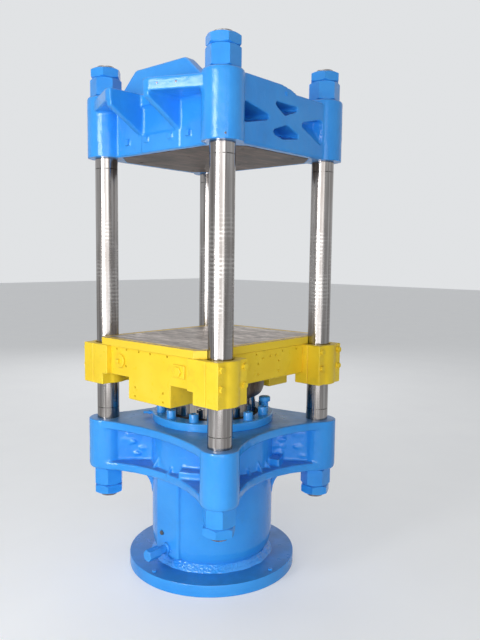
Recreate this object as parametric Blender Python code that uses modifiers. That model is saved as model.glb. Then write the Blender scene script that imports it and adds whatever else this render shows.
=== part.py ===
# Four-column up-stroking hydraulic press, in metres, +Z up.
# The origin is the middle of the base, on the floor. The front of the press faces -Y.
from math import acos, atan2, cos, degrees, hypot, pi, radians, sin, tan

import bmesh
import bpy
from mathutils import Matrix, Vector

# Running and fitting clearances
GAP = 0.0003
SLIDE_FIT = 0.0005

# Edges sharper than this stay crisp when shaded
CREASE_ANGLE = radians(32)

# Round pieces: how many flats stand for a circle
BIG_FLATS = 32
COLUMN_FLATS = 20
NUT_BORE_FLATS = 12
SMALL_FLATS = 8
BOSS_FLATS = 20

# Columns
COLUMN_X = 0.390
COLUMN_Y = 0.360
COLUMN_RADIUS = 0.0545
SHANK_RADIUS = 0.045
SHANK_BELOW_NUT = 0.015
SHANK_ABOVE_NUT = 0.012
THREAD_CHAMFER = 0.004

# Nuts, for an M90 thread
NUT_ACROSS_FLATS = 0.130
NUT_HEIGHT = 0.089
JAM_HEIGHT = 0.045
NUT_CHAMFER = 0.007

# Base flange and its weld
BASE_RADIUS = 0.420
BASE_THICKNESS = 0.058
BASE_EDGE = 0.004
HOLD_DOWN_CIRCLE = 0.392
HOLD_DOWN_HEAD = 0.019
HOLD_DOWN_HEAD_HEIGHT = 0.008
WELD_LEG_OUT = 0.030
WELD_LEG_UP = 0.030

# Cylinder and lower casting
BARREL_WALL = 0.091
FOOT_INSET = 0.026
FOOT_STRAIGHT = 0.035
FOOT_CURVE = 0.085
CYLINDER_FLOOR = 0.100
FLANGE_TOP = 0.738
FLANGE_THICKNESS = 0.042
FLANGE_ROUNDING = 0.006
ARM_BOTTOM = 0.4855
ARM_THICKNESS = 0.042
LOWER_BOSS_RADIUS = 0.0865
STAR_LOBE_RADIUS = 0.082
LOWER_BOSS_SHIFT = 0.010
LOWER_BOSS_ROUNDING = 0.020
TOP_WAIST_X = 0.380
TOP_WAIST_Y = 0.375
ARM_WAIST_X = 0.352
ARM_WAIST_Y = 0.335
RIB_WAIST = 0.088
RIB_END = 0.150
GUSSET_THICKNESS = 0.100
GUSSET_REACH = 0.110
GUSSET_DROP = 0.120
PORT_PAD_WIDTH = 0.160
PORT_PAD_STAND = 0.009
PORT_PAD_BOTTOM = 0.105
PORT_RADIUS = 0.011
PORT_X = -0.036
PORT_Z = 0.214
PORT_DEPTH = 0.050
SUPPLY_Z = 0.150
SUPPLY_HEX = 0.050
SUPPLY_HEX_LENGTH = 0.070
SUPPLY_NECK_RADIUS = 0.020
SUPPLY_NECK_LENGTH = 0.052
SUPPLY_SPIGOT = 0.030

# Ram, its packing and the gland
RAM_RADIUS = 0.215
BORE_CLEARANCE = 0.004
STUFFING_DEPTH = 0.178
PACKING_WIDTH = 0.030
BUSH_HEIGHT = 0.080
PACKING_RINGS = 3
PACKING_RING_HEIGHT = 0.024
GLAND_FLANGE_WIDTH = 0.059
GLAND_THICKNESS = 0.038
GLAND_CHAMFER = 0.003
GLAND_BORE = 0.0015
WIPER_WIDTH = 0.014
WIPER_HEIGHT = 0.016
GLAND_SCREWS = 12
GLAND_SCREW_OUT = 0.017
GLAND_SCREW_PHASE = -6.0
GLAND_SCREW_HEAD = 0.0225
GLAND_SCREW_HEIGHT = 0.038
GLAND_SCREW_SHANK = 0.014
GLAND_SCREW_LENGTH = 0.075
VALVE_ANGLE = 39.0
VALVE_BODY = 0.019
VALVE_SPIGOT = 0.012
VALVE_SPIGOT_RADIUS = 0.011
VALVE_HEIGHT = 0.050
VALVE_KNOB = 0.029
VALVE_KNOB_HEIGHT = 0.025
NIPPLE_ANGLE = 221.0
NIPPLE_RADIUS = 0.007
NIPPLE_LENGTH = 0.050
NIPPLE_SPIGOT = 0.010

# Ram head and its retaining ring
RAM_RING_WIDTH = 0.043
RAM_RING_HEIGHT = 0.112
RAM_RING_STRAIGHT = 0.052
RAM_RING_STUDS = 8
RAM_RING_STUD_OUT = 0.022
RING_STUD_RADIUS = 0.008
RING_NUT = 0.0145
RING_NUT_HEIGHT = 0.014
RING_NUT_SUNK = 0.024
RING_ABOVE_VALVE = 0.0161

# Moving platen at its lowest position
PLATEN_THICKNESS = 0.1425
PLATEN_SHORT_OF_COLUMNS_X = 0.030
PLATEN_PAST_COLUMNS_Y = 0.065
APRON_HALF_X = 0.146
APRON_INNER_Y = 0.272
APRON_DROP = 0.103
PLATEN_EDGE = 0.003
TOP_PLATE_THICKNESS = 0.0355
TOP_PLATE_OVERHANG_Y = 0.025
TOP_PLATE_CORNER = 0.042
TOP_PLATE_NOTCH = 0.003
TAPPED_RADIUS = 0.0055
TAPPED_DEPTH = 0.020
TAPPED_STRIP = 0.0145

# Split guides at the platen's corners
GUIDE_DROP = 0.055
GUIDE_HALF_Y = 0.092
GUIDE_INNER_EAR_X = 0.076
GUIDE_INNER_RADIUS = 0.090
GUIDE_FLANGE_INNER_X = 0.110
GUIDE_CAP_RADIUS = 0.087
GUIDE_EAR_X = 0.072
GUIDE_BORE_RADIUS = 0.062
GUIDE_SPLIT = 0.001
GUIDE_EDGE = 0.003
GUIDE_BUSH_SHORT = 0.005
GUIDE_BOLT_LOW = 0.030
GUIDE_BOLT_HIGH = 0.111
GUIDE_BOLT_OUT = 0.0708
GUIDE_BOLT_RADIUS = 0.007
GUIDE_BOLT_HEAD = 0.0125
GUIDE_BOLT_HEAD_HEIGHT = 0.012
GUIDE_BOLT_LENGTH = 0.100

# Pins on the platen's front
PIN_X = 0.205
PIN_RISE = 0.072
PIN_DISC_RADIUS = 0.034
PIN_DISC_HEIGHT = 0.010
PIN_SQUARE = 0.020
PIN_SQUARE_HEIGHT = 0.016
PAD_SIZE = 0.078
PAD_TALL = 0.060
PAD_NUT = 0.040
PAD_NUT_HEIGHT = 0.014

# Top head
HEAD_BOTTOM = 2.020
HEAD_BOSS_HEIGHT = 0.287
HEAD_BOSS_RADIUS = 0.090
HEAD_BOSS_ROUNDING = 0.012
HEAD_PAST_COLUMNS_X = 0.052
HEAD_PAST_COLUMNS_Y = 0.002
HEAD_DECK_HEIGHT = 0.264
HEAD_EDGE = 0.008
HEAD_WALL = 0.057
CREST_HEIGHT = 0.382
CREST_HALF_TOP = 0.166
CREST_HALF_FOOT = 0.325
CREST_ROUNDING = 0.030
SIDE_WALL_HEIGHT = 0.285
SIDE_WALL_FLAT_END = -0.030
SIDE_WALL_DROP_END = 0.068
EAR_HEIGHT = 0.263
EAR_THICKNESS = 0.055
EAR_REACH = 0.187
EAR_NEAR_X = 0.107
EAR_BOSS_SINK = 0.007
EAR_GUSSET_THICKNESS = 0.034
EAR_GUSSET_TIP = 0.188
EAR_GUSSET_FOOT = 0.086
LEDGE_DEPTH = 0.015
PANEL_LEFT = -0.116
PANEL_RIGHT = 0.137
PANEL_HEIGHT = 0.082
PANEL_DEPTH = 0.005
LUG_SIZE = 0.024
LUG_DEPTH = 0.008
LUG_HEIGHT = 0.059
LUG_XS = (-0.218, -0.080, 0.080, 0.192)
FACE_PLATE_INSET_X = 0.042
FACE_PLATE_INSET_Y = 0.032
FACE_PLATE_CORNER = 0.105
FACE_PLATE_THICKNESS = 0.025
FACE_SCREW_RADIUS = 0.008
FACE_SCREW_SOCKET = 0.014
FACE_SCREW_GRIP = 0.030

# How far each nut happens to be turned, by column, in degrees
LOWER_NUT_TURN = {"front_right": -5, "front_left": -11, "rear_right": 3, "rear_left": 10}
LOWER_JAM_TURN = {"front_right": -27, "front_left": -10, "rear_right": 25, "rear_left": -20}
UPPER_NUT_TURN = {"front_right": 4, "front_left": 18, "rear_right": 14, "rear_left": 20}
UPPER_JAM_TURN = {"front_right": 0, "front_left": -16, "rear_right": -24, "rear_left": 5}

CORNERS = {"front_right": (1, -1), "front_left": (-1, -1), "rear_right": (1, 1), "rear_left": (-1, 1)}

# Sizes that follow from those above
BARREL_RADIUS = RAM_RADIUS + BARREL_WALL
FOOT_RADIUS = BARREL_RADIUS - FOOT_INSET
STUFFING_RADIUS = RAM_RADIUS + PACKING_WIDTH
GLAND_RADIUS = STUFFING_RADIUS + GLAND_FLANGE_WIDTH
GLAND_SCREW_CIRCLE = STUFFING_RADIUS + GLAND_SCREW_OUT
RAM_RING_RADIUS = RAM_RADIUS + RAM_RING_WIDTH
RAM_RING_STUD_CIRCLE = RAM_RADIUS + RAM_RING_STUD_OUT
FLOOR_TOP = BASE_THICKNESS + CYLINDER_FLOOR
STUFFING_BOTTOM = FLANGE_TOP - STUFFING_DEPTH
GLAND_BOTTOM = FLANGE_TOP + GAP
GLAND_TOP = GLAND_BOTTOM + GLAND_THICKNESS
VALVE_TOP = GLAND_TOP + GAP + VALVE_HEIGHT + VALVE_KNOB_HEIGHT
PORT_PAD_FACE = BARREL_RADIUS + PORT_PAD_STAND
RAM_BORE = RAM_RADIUS + BORE_CLEARANCE
PLATEN_BOTTOM = VALVE_TOP + RING_ABOVE_VALVE + RAM_RING_HEIGHT + GAP
PLATEN_TOP = PLATEN_BOTTOM + PLATEN_THICKNESS
PLATEN_HALF_X = COLUMN_X - PLATEN_SHORT_OF_COLUMNS_X
PLATEN_HALF_Y = COLUMN_Y + PLATEN_PAST_COLUMNS_Y
TOP_PLATE_HALF_X = PLATEN_HALF_X
TOP_PLATE_HALF_Y = PLATEN_HALF_Y + TOP_PLATE_OVERHANG_Y
APRON_BOTTOM = PLATEN_BOTTOM - APRON_DROP
HEAD_HALF_X = COLUMN_X + HEAD_PAST_COLUMNS_X
HEAD_HALF_Y = COLUMN_Y + HEAD_PAST_COLUMNS_Y
FACE_PLATE_HALF_X = HEAD_HALF_X - FACE_PLATE_INSET_X
FACE_PLATE_HALF_Y = HEAD_HALF_Y - FACE_PLATE_INSET_Y
HEAD_BOSS_TOP = HEAD_BOTTOM + HEAD_BOSS_HEIGHT
HEAD_DECK = HEAD_BOTTOM + HEAD_DECK_HEIGHT
CREST_TOP = HEAD_BOTTOM + CREST_HEIGHT
SIDE_WALL_TOP = HEAD_BOTTOM + SIDE_WALL_HEIGHT
EAR_TOP = HEAD_BOTTOM + EAR_HEIGHT
EAR_BOTTOM = EAR_TOP - EAR_THICKNESS
EAR_REACH_Y = HEAD_HALF_Y + EAR_REACH
EAR_BOSS_Y = COLUMN_Y + HEAD_BOSS_RADIUS - EAR_BOSS_SINK
PANEL_TOP = HEAD_BOTTOM + PANEL_HEIGHT
LUG_Z = HEAD_BOTTOM + LUG_HEIGHT
LOWER_NUT_TOP = ARM_BOTTOM - GAP
UPPER_NUT_BOTTOM = HEAD_BOSS_TOP + GAP
STACK = NUT_HEIGHT + JAM_HEIGHT + GAP
GUIDE_BOTTOM = PLATEN_BOTTOM - GUIDE_DROP
GUIDE_TOP = PLATEN_TOP - GAP
PIN_Z = PLATEN_BOTTOM + PIN_RISE
TOP_PLATE_BOTTOM = PLATEN_TOP + GAP
FACE_PLATE_SEAT = HEAD_BOTTOM + FACE_PLATE_THICKNESS


def clear_scene():
    for obj in list(bpy.data.objects):
        bpy.data.objects.remove(obj, do_unlink=True)


def new_collection(name):
    collection = bpy.data.collections.new(name)
    bpy.context.scene.collection.children.link(collection)
    return collection


clear_scene()
PRESS = new_collection("hydraulic_press")
CUTTERS = new_collection("cutters")

lift = bpy.data.objects.new("platen_lift", None)
PRESS.objects.link(lift)


def material(name, colour, roughness, metallic):
    made = bpy.data.materials.new(name)
    made.use_nodes = True
    shader = made.node_tree.nodes["Principled BSDF"]
    shader.inputs["Base Color"].default_value = (*colour, 1.0)
    shader.inputs["Roughness"].default_value = roughness
    shader.inputs["Metallic"].default_value = metallic
    made.diffuse_color = (*colour, 1.0)
    return made


BLUE = material("blue_enamel", (0.03, 0.21, 0.62), 0.35, 0.0)
YELLOW = material("yellow_enamel", (0.80, 0.55, 0.03), 0.35, 0.0)
CHROME = material("ground_steel", (0.62, 0.62, 0.64), 0.18, 1.0)
BARE = material("bare_plate_steel", (0.32, 0.28, 0.25), 0.45, 1.0)
BROWN = material("oily_cast_iron", (0.15, 0.12, 0.09), 0.6, 0.6)
BRONZE = material("bearing_bronze", (0.50, 0.33, 0.14), 0.35, 1.0)
RUBBER = material("packing_rubber", (0.02, 0.02, 0.02), 0.7, 0.0)


def smooth_by_angle():
    """Node group that shades faces smooth and keeps every edge sharper than the limit crisp."""
    group = bpy.data.node_groups.new("smooth_by_angle", "GeometryNodeTree")
    group.is_modifier = True
    group.interface.new_socket("Geometry", in_out="INPUT", socket_type="NodeSocketGeometry")
    group.interface.new_socket("Geometry", in_out="OUTPUT", socket_type="NodeSocketGeometry")
    source = group.nodes.new("NodeGroupInput")
    result = group.nodes.new("NodeGroupOutput")
    angle = group.nodes.new("GeometryNodeInputMeshEdgeAngle")
    gentle = group.nodes.new("ShaderNodeMath")
    gentle.operation = "LESS_THAN"
    gentle.inputs[1].default_value = CREASE_ANGLE
    faces = group.nodes.new("GeometryNodeSetShadeSmooth")
    edges = group.nodes.new("GeometryNodeSetShadeSmooth")
    edges.domain = "EDGE"
    group.links.new(source.outputs[0], faces.inputs["Geometry"])
    group.links.new(faces.outputs["Geometry"], edges.inputs["Geometry"])
    group.links.new(angle.outputs["Unsigned Angle"], gentle.inputs[0])
    group.links.new(gentle.outputs[0], edges.inputs["Shade Smooth"])
    group.links.new(edges.outputs["Geometry"], result.inputs[0])
    return group


SHADING = smooth_by_angle()


def finish(obj, paint, moving=False, helper=False):
    """Puts a solid in its collection with its finish, or marks it as a helper shape."""
    (CUTTERS if helper else PRESS).objects.link(obj)
    if helper:
        obj.hide_render = True
        obj.display_type = "WIRE"
    else:
        obj.data.materials.append(paint)
        obj.modifiers.new("shading", "NODES").node_group = SHADING
    if moving:
        obj.parent = lift
    return obj


def mesh_of(name, shape):
    mesh = bpy.data.meshes.new(name)
    shape.to_mesh(mesh)
    shape.free()
    return mesh


def turned(name, profile, flats=BIG_FLATS, closed=True, at=(0, 0)):
    """A turned shape. Its (radius, z) profile runs down the outer side; an open one ends on the axis."""
    shape = bmesh.new()
    points = [shape.verts.new((radius, 0, z)) for radius, z in profile]
    for first, second in zip(points, points[1:]):
        shape.edges.new((first, second))
    if closed:
        shape.edges.new((points[-1], points[0]))
    obj = bpy.data.objects.new(name, mesh_of(name, shape))
    obj.location = (*at, 0)
    screw = obj.modifiers.new("turn", "SCREW")
    screw.axis = "Z"
    screw.angle = 2 * pi
    screw.steps = flats
    screw.render_steps = flats
    screw.use_merge_vertices = True
    screw.merge_threshold = 0.00005
    return obj


def rod_profile(radius, low, high, chamfer=0.0):
    """Half section of a plain rod, chamfered at both ends."""
    if not chamfer:
        return [(0, high), (radius, high), (radius, low), (0, low)]
    inner = radius - chamfer
    return [
        (0, high), (inner, high), (radius, high - chamfer),
        (radius, low + chamfer), (inner, low), (0, low),
    ]


def ring_profile(inner, outer, low, high):
    return [(inner, high), (outer, high), (outer, low), (inner, low)]


def block(name, low, high, bevel=0.0, steps=1):
    """A box from one corner to the other, its edges rounded by bevel."""
    shape = bmesh.new()
    bmesh.ops.create_cube(shape, size=1.0)
    size = Vector(high) - Vector(low)
    middle = (Vector(high) + Vector(low)) / 2
    bmesh.ops.scale(shape, vec=size, verts=shape.verts)
    bmesh.ops.translate(shape, vec=middle, verts=shape.verts)
    obj = bpy.data.objects.new(name, mesh_of(name, shape))
    if bevel:
        add_bevel(obj, bevel, steps)
    return obj


def add_bevel(obj, width, steps=1):
    bevel = obj.modifiers.new("edges", "BEVEL")
    bevel.width = width
    bevel.segments = steps
    bevel.limit_method = "ANGLE"
    bevel.angle_limit = radians(35)
    return obj


def fillet(points, radii, steps=3):
    """The closed outline with each corner rounded by an arc of its own radius."""
    if not isinstance(radii, (list, tuple)):
        radii = [radii] * len(points)
    outline = []
    count = len(points)
    for index, (corner, radius) in enumerate(zip(points, radii)):
        here = Vector(corner)
        before = (Vector(points[index - 1]) - here).normalized()
        after = (Vector(points[(index + 1) % count]) - here).normalized()
        if radius <= 0:
            outline.append(tuple(here))
            continue
        half = before.angle(after) / 2
        centre = here + (before + after).normalized() * (radius / sin(half))
        start = here + before * (radius / tan(half)) - centre
        end = here + after * (radius / tan(half)) - centre
        turn = atan2(start.x * end.y - start.y * end.x, start.dot(end))
        for step in range(steps + 1):
            spoke = start.copy()
            spoke.rotate(Matrix.Rotation(turn * step / steps, 2))
            outline.append(tuple(centre + spoke))
    return outline


def slab(name, outline, low, high, bevel=0.0, steps=1):
    """A flat outline in X and Y, filled and extruded from low to high, as a mesh."""
    curve = bpy.data.curves.new(name, "CURVE")
    curve.dimensions = "2D"
    curve.fill_mode = "BOTH"
    curve.extrude = (high - low) / 2
    spline = curve.splines.new("POLY")
    spline.points.add(len(outline) - 1)
    for point, (x, y) in zip(spline.points, outline):
        point.co = (x, y, 0, 1)
    spline.use_cyclic_u = True
    guide = bpy.data.objects.new(name + "_curve", curve)
    CUTTERS.objects.link(guide)
    guide.location.z = (high + low) / 2
    bpy.context.view_layer.update()
    mesh = bpy.data.meshes.new_from_object(guide.evaluated_get(bpy.context.evaluated_depsgraph_get()))
    mesh.transform(guide.matrix_world)
    bpy.data.objects.remove(guide)
    shape = bmesh.new()
    shape.from_mesh(mesh)
    bmesh.ops.remove_doubles(shape, verts=shape.verts, dist=0.00001)
    bmesh.ops.dissolve_limit(shape, angle_limit=radians(1), verts=shape.verts, edges=shape.edges)
    bmesh.ops.recalc_face_normals(shape, faces=shape.faces)
    shape.to_mesh(mesh)
    shape.free()
    mesh.name = name
    obj = bpy.data.objects.new(name, mesh)
    if bevel:
        add_bevel(obj, bevel, steps)
    return obj


def facing(obj, direction):
    """Turns a slab made in X and Y so that its thickness runs along X or Y instead of Z."""
    if direction == "X":
        basis = Matrix(((0, 0, 1), (1, 0, 0), (0, 1, 0)))
    else:
        basis = Matrix(((1, 0, 0), (0, 0, -1), (0, 1, 0)))
    obj.data.transform(basis.to_4x4())
    return obj


def pins(name, places, radius, length, flats=SMALL_FLATS, direction=(0, 0, 1), turn=0.0):
    """One mesh of separate cylinders; each starts at its place and runs along the direction."""
    shape = bmesh.new()
    aim = Vector(direction).to_track_quat("Z", "Y").to_matrix().to_4x4()
    for place in places:
        frame = Matrix.Translation(place) @ aim @ Matrix.Rotation(turn, 4, "Z")
        bmesh.ops.create_cone(
            shape, cap_ends=True, segments=flats, radius1=radius, radius2=radius, depth=length,
            matrix=frame @ Matrix.Translation((0, 0, length / 2)),
        )
    return bpy.data.objects.new(name, mesh_of(name, shape))


def combine(obj, other, operation):
    """Joins or cuts obj with a helper shape."""
    if other.name not in CUTTERS.objects:
        finish(other, None, helper=True)
    step = obj.modifiers.new(operation.lower() + "_" + other.name, "BOOLEAN")
    step.operation = operation
    step.object = other
    step.solver = "EXACT"
    return obj


def join(obj, *others):
    for other in others:
        combine(obj, other, "UNION")
    return obj


def cut(obj, *others):
    for other in others:
        combine(obj, other, "DIFFERENCE")
    return obj


def corner_places():
    return {name: (sx * COLUMN_X, sy * COLUMN_Y) for name, (sx, sy) in CORNERS.items()}


def circle_places(count, radius, phase, z):
    angles = [radians(phase + 360 * index / count) for index in range(count)]
    return [(radius * cos(angle), radius * sin(angle), z) for angle in angles]


def arc(centre, radius, start, end, steps):
    """Points of an arc from one angle to another, both ends included."""
    return [
        (
            centre[0] + radius * cos(start + (end - start) * step / steps),
            centre[1] + radius * sin(start + (end - start) * step / steps),
        )
        for step in range(steps + 1)
    ]


def star_outline(lobe_radius, shift, waist_x, waist_y, lobe_steps=5, side_steps=4):
    """Four lobes round the columns, joined by hollow sides that meet each lobe tangentially."""
    reach = hypot(COLUMN_X, COLUMN_Y)
    centre_x = COLUMN_X * (1 + shift / reach)
    centre_y = COLUMN_Y * (1 + shift / reach)

    def hollow(along, across, waist):
        """Radius and centre distance of the circle that hollows a side."""
        inset = waist - across
        radius = (along**2 + inset**2 - lobe_radius**2) / (2 * (lobe_radius - inset))
        return radius, waist + radius

    radius_x, centre_right = hollow(centre_y, centre_x, waist_x)
    radius_y, centre_top = hollow(centre_x, centre_y, waist_y)
    lobe = (centre_x, centre_y)
    low = atan2(0 - centre_y, centre_right - centre_x)
    high = atan2(centre_top - centre_y, 0 - centre_x)
    half_right = arc((centre_right, 0), radius_x, pi, pi + low, side_steps)[:-1]
    corner = arc(lobe, lobe_radius, low, high, lobe_steps)
    half_top = arc((0, centre_top), radius_y, high - pi, -pi / 2, side_steps)[1:]
    quarter = half_right + corner + half_top
    right_half = quarter + [(-x, y) for x, y in reversed(quarter[:-1])]
    return right_half + [(x, -y) for x, y in reversed(right_half[1:-1])]


def base_flange():
    """Round foot plate, with the heads of the four screws that hold it down."""
    top = BASE_THICKNESS
    flange = turned("base_flange", rod_profile(BASE_RADIUS, 0, top, BASE_EDGE), flats=48, closed=False)
    sunk = 0.004
    heads = pins("hold_down_heads", circle_places(4, HOLD_DOWN_CIRCLE, 0, top - sunk),
                 HOLD_DOWN_HEAD / 2 / cos(pi / 6), HOLD_DOWN_HEAD_HEIGHT + sunk, flats=6)
    return finish(join(flange, heads), BLUE)


def foot_weld():
    low = BASE_THICKNESS + GAP
    inner = FOOT_RADIUS + GAP
    profile = [
        (inner, low + WELD_LEG_UP), (inner + WELD_LEG_OUT * 0.45, low + WELD_LEG_UP * 0.62),
        (inner + WELD_LEG_OUT, low), (inner, low),
    ]
    return finish(turned("foot_weld", profile), BLUE)


def barrel_profile():
    """Outside of the cylinder: plain above, curving in to the foot below."""
    straight = BASE_THICKNESS + FOOT_STRAIGHT
    curve = []
    for step in range(5):
        angle = radians(90) * step / 4
        radius = FOOT_RADIUS + (BARREL_RADIUS - FOOT_RADIUS) * cos(angle)
        curve.append((radius, straight + FOOT_CURVE * (1 - sin(angle))))
    return [(0, FLANGE_TOP), (BARREL_RADIUS, FLANGE_TOP), *curve, (FOOT_RADIUS, BASE_THICKNESS + GAP),
            (0, BASE_THICKNESS + GAP)]


def radial_rib(name, angle):
    """Upright rib from the cylinder to a column boss, waisted like an hourglass in plan."""
    inner = BARREL_RADIUS - 0.030
    outer = hypot(COLUMN_X, COLUMN_Y)
    middle = (BARREL_RADIUS + outer - LOWER_BOSS_RADIUS) / 2
    upper = []
    for step in range(7):
        along = inner + (outer - inner) * step / 6
        bend = (along - middle) / (outer - middle)
        upper.append((along, RIB_WAIST / 2 + (RIB_END - RIB_WAIST) / 2 * min(1.0, bend**2)))
    outline = upper + [(x, -y) for x, y in reversed(upper)]
    rib = slab(name, outline, ARM_BOTTOM + ARM_THICKNESS / 2, FLANGE_TOP - FLANGE_THICKNESS / 2)
    rib.data.transform(Matrix.Rotation(angle, 4, "Z"))
    return rib


def arm_gusset(name, angle):
    """Curved bracket that runs from the underside of an arm down into the cylinder."""
    inner = BARREL_RADIUS - 0.020
    top = ARM_BOTTOM + ARM_THICKNESS / 2
    start = BARREL_RADIUS + GUSSET_REACH
    curve = []
    for step in range(7):
        turn = radians(90) * step / 6
        curve.append((start - GUSSET_REACH * sin(turn), ARM_BOTTOM - GUSSET_DROP * (1 - cos(turn))))
    outline = [(inner, top), (start, top), *curve, (inner, ARM_BOTTOM - GUSSET_DROP)]
    half = GUSSET_THICKNESS / 2
    gusset = facing(slab(name, outline[::-1], -half, half), "Y")
    gusset.data.transform(Matrix.Rotation(angle, 4, "Z"))
    return gusset


def lower_boss(name, place):
    """Column boss of the lower casting, rounded at its lower edge."""
    bend = [
        (LOWER_BOSS_RADIUS - LOWER_BOSS_ROUNDING * (1 - cos(radians(turn))) * 0.5,
         ARM_BOTTOM + LOWER_BOSS_ROUNDING * (1 - sin(radians(turn))))
        for turn in (0, 45, 90)
    ]
    profile = [(0, FLANGE_TOP), (LOWER_BOSS_RADIUS, FLANGE_TOP), *bend, (0, ARM_BOTTOM)]
    return turned(name, profile, flats=BOSS_FLATS, closed=False, at=place)


def column_holes(name, low, high):
    """Clearance holes for the four column shanks, with flats that match the columns'."""
    holes = turned(name, rod_profile(SHANK_RADIUS + GAP, low, high), flats=COLUMN_FLATS, closed=False)
    holes.location = (COLUMN_X, COLUMN_Y, 0)
    for label, axis in (("across", 0), ("along", 1)):
        mirror = holes.modifiers.new(label, "MIRROR")
        mirror.use_axis = (axis == 0, axis == 1, False)
        mirror.merge_threshold = 0.0001
        mirror.mirror_object = lift
    return holes


def cylinder_casting():
    """Cylinder, upper and lower star flanges, column bosses and ribs, cast in one piece."""
    casting = turned("cylinder_casting", barrel_profile(), closed=False)
    star = star_outline(STAR_LOBE_RADIUS, LOWER_BOSS_SHIFT, TOP_WAIST_X, TOP_WAIST_Y)
    arms = star_outline(STAR_LOBE_RADIUS, LOWER_BOSS_SHIFT, ARM_WAIST_X, ARM_WAIST_Y)
    join(
        casting,
        slab("top_star", star, FLANGE_TOP - FLANGE_THICKNESS, FLANGE_TOP, FLANGE_ROUNDING),
        slab("arm_star", arms, ARM_BOTTOM, ARM_BOTTOM + ARM_THICKNESS, FLANGE_ROUNDING),
    )
    reach = hypot(COLUMN_X, COLUMN_Y)
    for name, (x, y) in corner_places().items():
        angle = atan2(y, x)
        outward = 1 + LOWER_BOSS_SHIFT / reach
        join(
            casting,
            radial_rib("rib_" + name, angle),
            lower_boss("boss_" + name, (x * outward, y * outward)),
            arm_gusset("gusset_" + name, angle),
        )
    half = PORT_PAD_WIDTH / 2
    low, high = PORT_PAD_BOTTOM, ARM_BOTTOM + 0.02
    join(casting, block("port_pad", (-half, -PORT_PAD_FACE, low), (half, -RAM_BORE - 0.001, high), 0.008))
    cut(
        casting,
        turned("bore", [
            (0, FLANGE_TOP + 0.02), (STUFFING_RADIUS, FLANGE_TOP + 0.02), (STUFFING_RADIUS, STUFFING_BOTTOM),
            (RAM_BORE, STUFFING_BOTTOM), (RAM_BORE, FLOOR_TOP), (0, FLOOR_TOP),
        ], closed=False),
        column_holes("lower_column_holes", ARM_BOTTOM - 0.02, FLANGE_TOP + 0.02),
        pins("port", [(PORT_X, -PORT_PAD_FACE - 0.01, PORT_Z)], PORT_RADIUS, PORT_DEPTH + 0.01,
             flats=12, direction=(0, 1, 0)),
        pins("supply_hole", [(0, -PORT_PAD_FACE - 0.01, SUPPLY_Z)], SUPPLY_NECK_RADIUS + GAP,
             SUPPLY_SPIGOT + 0.012, flats=16, direction=(0, 1, 0)),
        pins("gland_screw_holes", circle_places(GLAND_SCREWS, GLAND_SCREW_CIRCLE, GLAND_SCREW_PHASE,
             GLAND_TOP - GLAND_SCREW_LENGTH - 0.003), GLAND_SCREW_SHANK + GAP, GLAND_SCREW_LENGTH),
    )
    return finish(casting, BLUE)


def supply_fitting():
    """Hexagon cap on a plain neck, screwed into the bottom of the port pad."""
    start = PORT_PAD_FACE + SUPPLY_NECK_LENGTH
    neck = pins("supply_neck", [(0, -start - 0.01, SUPPLY_Z)], SUPPLY_NECK_RADIUS,
                SUPPLY_NECK_LENGTH + SUPPLY_SPIGOT + 0.01, flats=16, direction=(0, 1, 0))
    body = pins("supply_fitting", [(0, -start, SUPPLY_Z)], SUPPLY_HEX / 2 / cos(pi / 6), SUPPLY_HEX_LENGTH,
                flats=6, direction=(0, -1, 0), turn=radians(20))
    collar = pins("supply_collar", [(0, -PORT_PAD_FACE - GAP, SUPPLY_Z)], SUPPLY_NECK_RADIUS * 1.35, 0.012,
                  flats=16, direction=(0, -1, 0))
    add_bevel(body, 0.004)
    return finish(join(body, neck, collar), BLUE)


def nipple_foot():
    """Direction of the drain nipple, and the point where it leaves the gland ring."""
    angle = radians(NIPPLE_ANGLE)
    outward = Vector((cos(angle), sin(angle), 0))
    return outward, GLAND_RADIUS * outward + Vector((0, 0, GLAND_BOTTOM + GLAND_THICKNESS / 2))


def gland_ring():
    """Ring that pulls the packing down, with its nose in the stuffing box and its twelve screws."""
    inner = RAM_RADIUS + GLAND_BORE
    nose = STUFFING_BOTTOM + GAP + BUSH_HEIGHT + GAP + PACKING_RINGS * (PACKING_RING_HEIGHT + GAP)
    groove = inner + WIPER_WIDTH
    outer = STUFFING_RADIUS - GAP
    profile = [
        (groove, GLAND_TOP), (GLAND_RADIUS - GLAND_CHAMFER, GLAND_TOP),
        (GLAND_RADIUS, GLAND_TOP - GLAND_CHAMFER), (GLAND_RADIUS, GLAND_BOTTOM), (outer, GLAND_BOTTOM),
        (outer, nose), (inner, nose), (inner, GLAND_TOP - WIPER_HEIGHT), (groove, GLAND_TOP - WIPER_HEIGHT),
    ]
    ring = turned("gland_ring", profile)

    def screws(name, z, radius, length, flats):
        places = circle_places(GLAND_SCREWS, GLAND_SCREW_CIRCLE, GLAND_SCREW_PHASE, z)
        return pins(name, places, radius, length, flats=flats)

    sunk = 0.005
    tip = GLAND_TOP - GLAND_SCREW_LENGTH
    join(
        ring,
        screws("gland_heads", GLAND_TOP - sunk, GLAND_SCREW_HEAD, GLAND_SCREW_HEIGHT + sunk, 10),
        screws("gland_shanks", tip, GLAND_SCREW_SHANK, GLAND_SCREW_LENGTH - sunk * 2, SMALL_FLATS),
    )
    valve = radians(VALVE_ANGLE)
    place = (GLAND_SCREW_CIRCLE * cos(valve), GLAND_SCREW_CIRCLE * sin(valve), GLAND_TOP - VALVE_SPIGOT - GAP)
    outward, foot = nipple_foot()
    cut(
        ring,
        pins("valve_hole", [place], VALVE_SPIGOT_RADIUS + GAP, VALVE_SPIGOT + 0.02),
        pins("nipple_hole", [foot - outward * (NIPPLE_SPIGOT + GAP)], NIPPLE_RADIUS + GAP,
             NIPPLE_SPIGOT + 0.02, direction=outward),
    )
    return finish(ring, BLUE)


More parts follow.
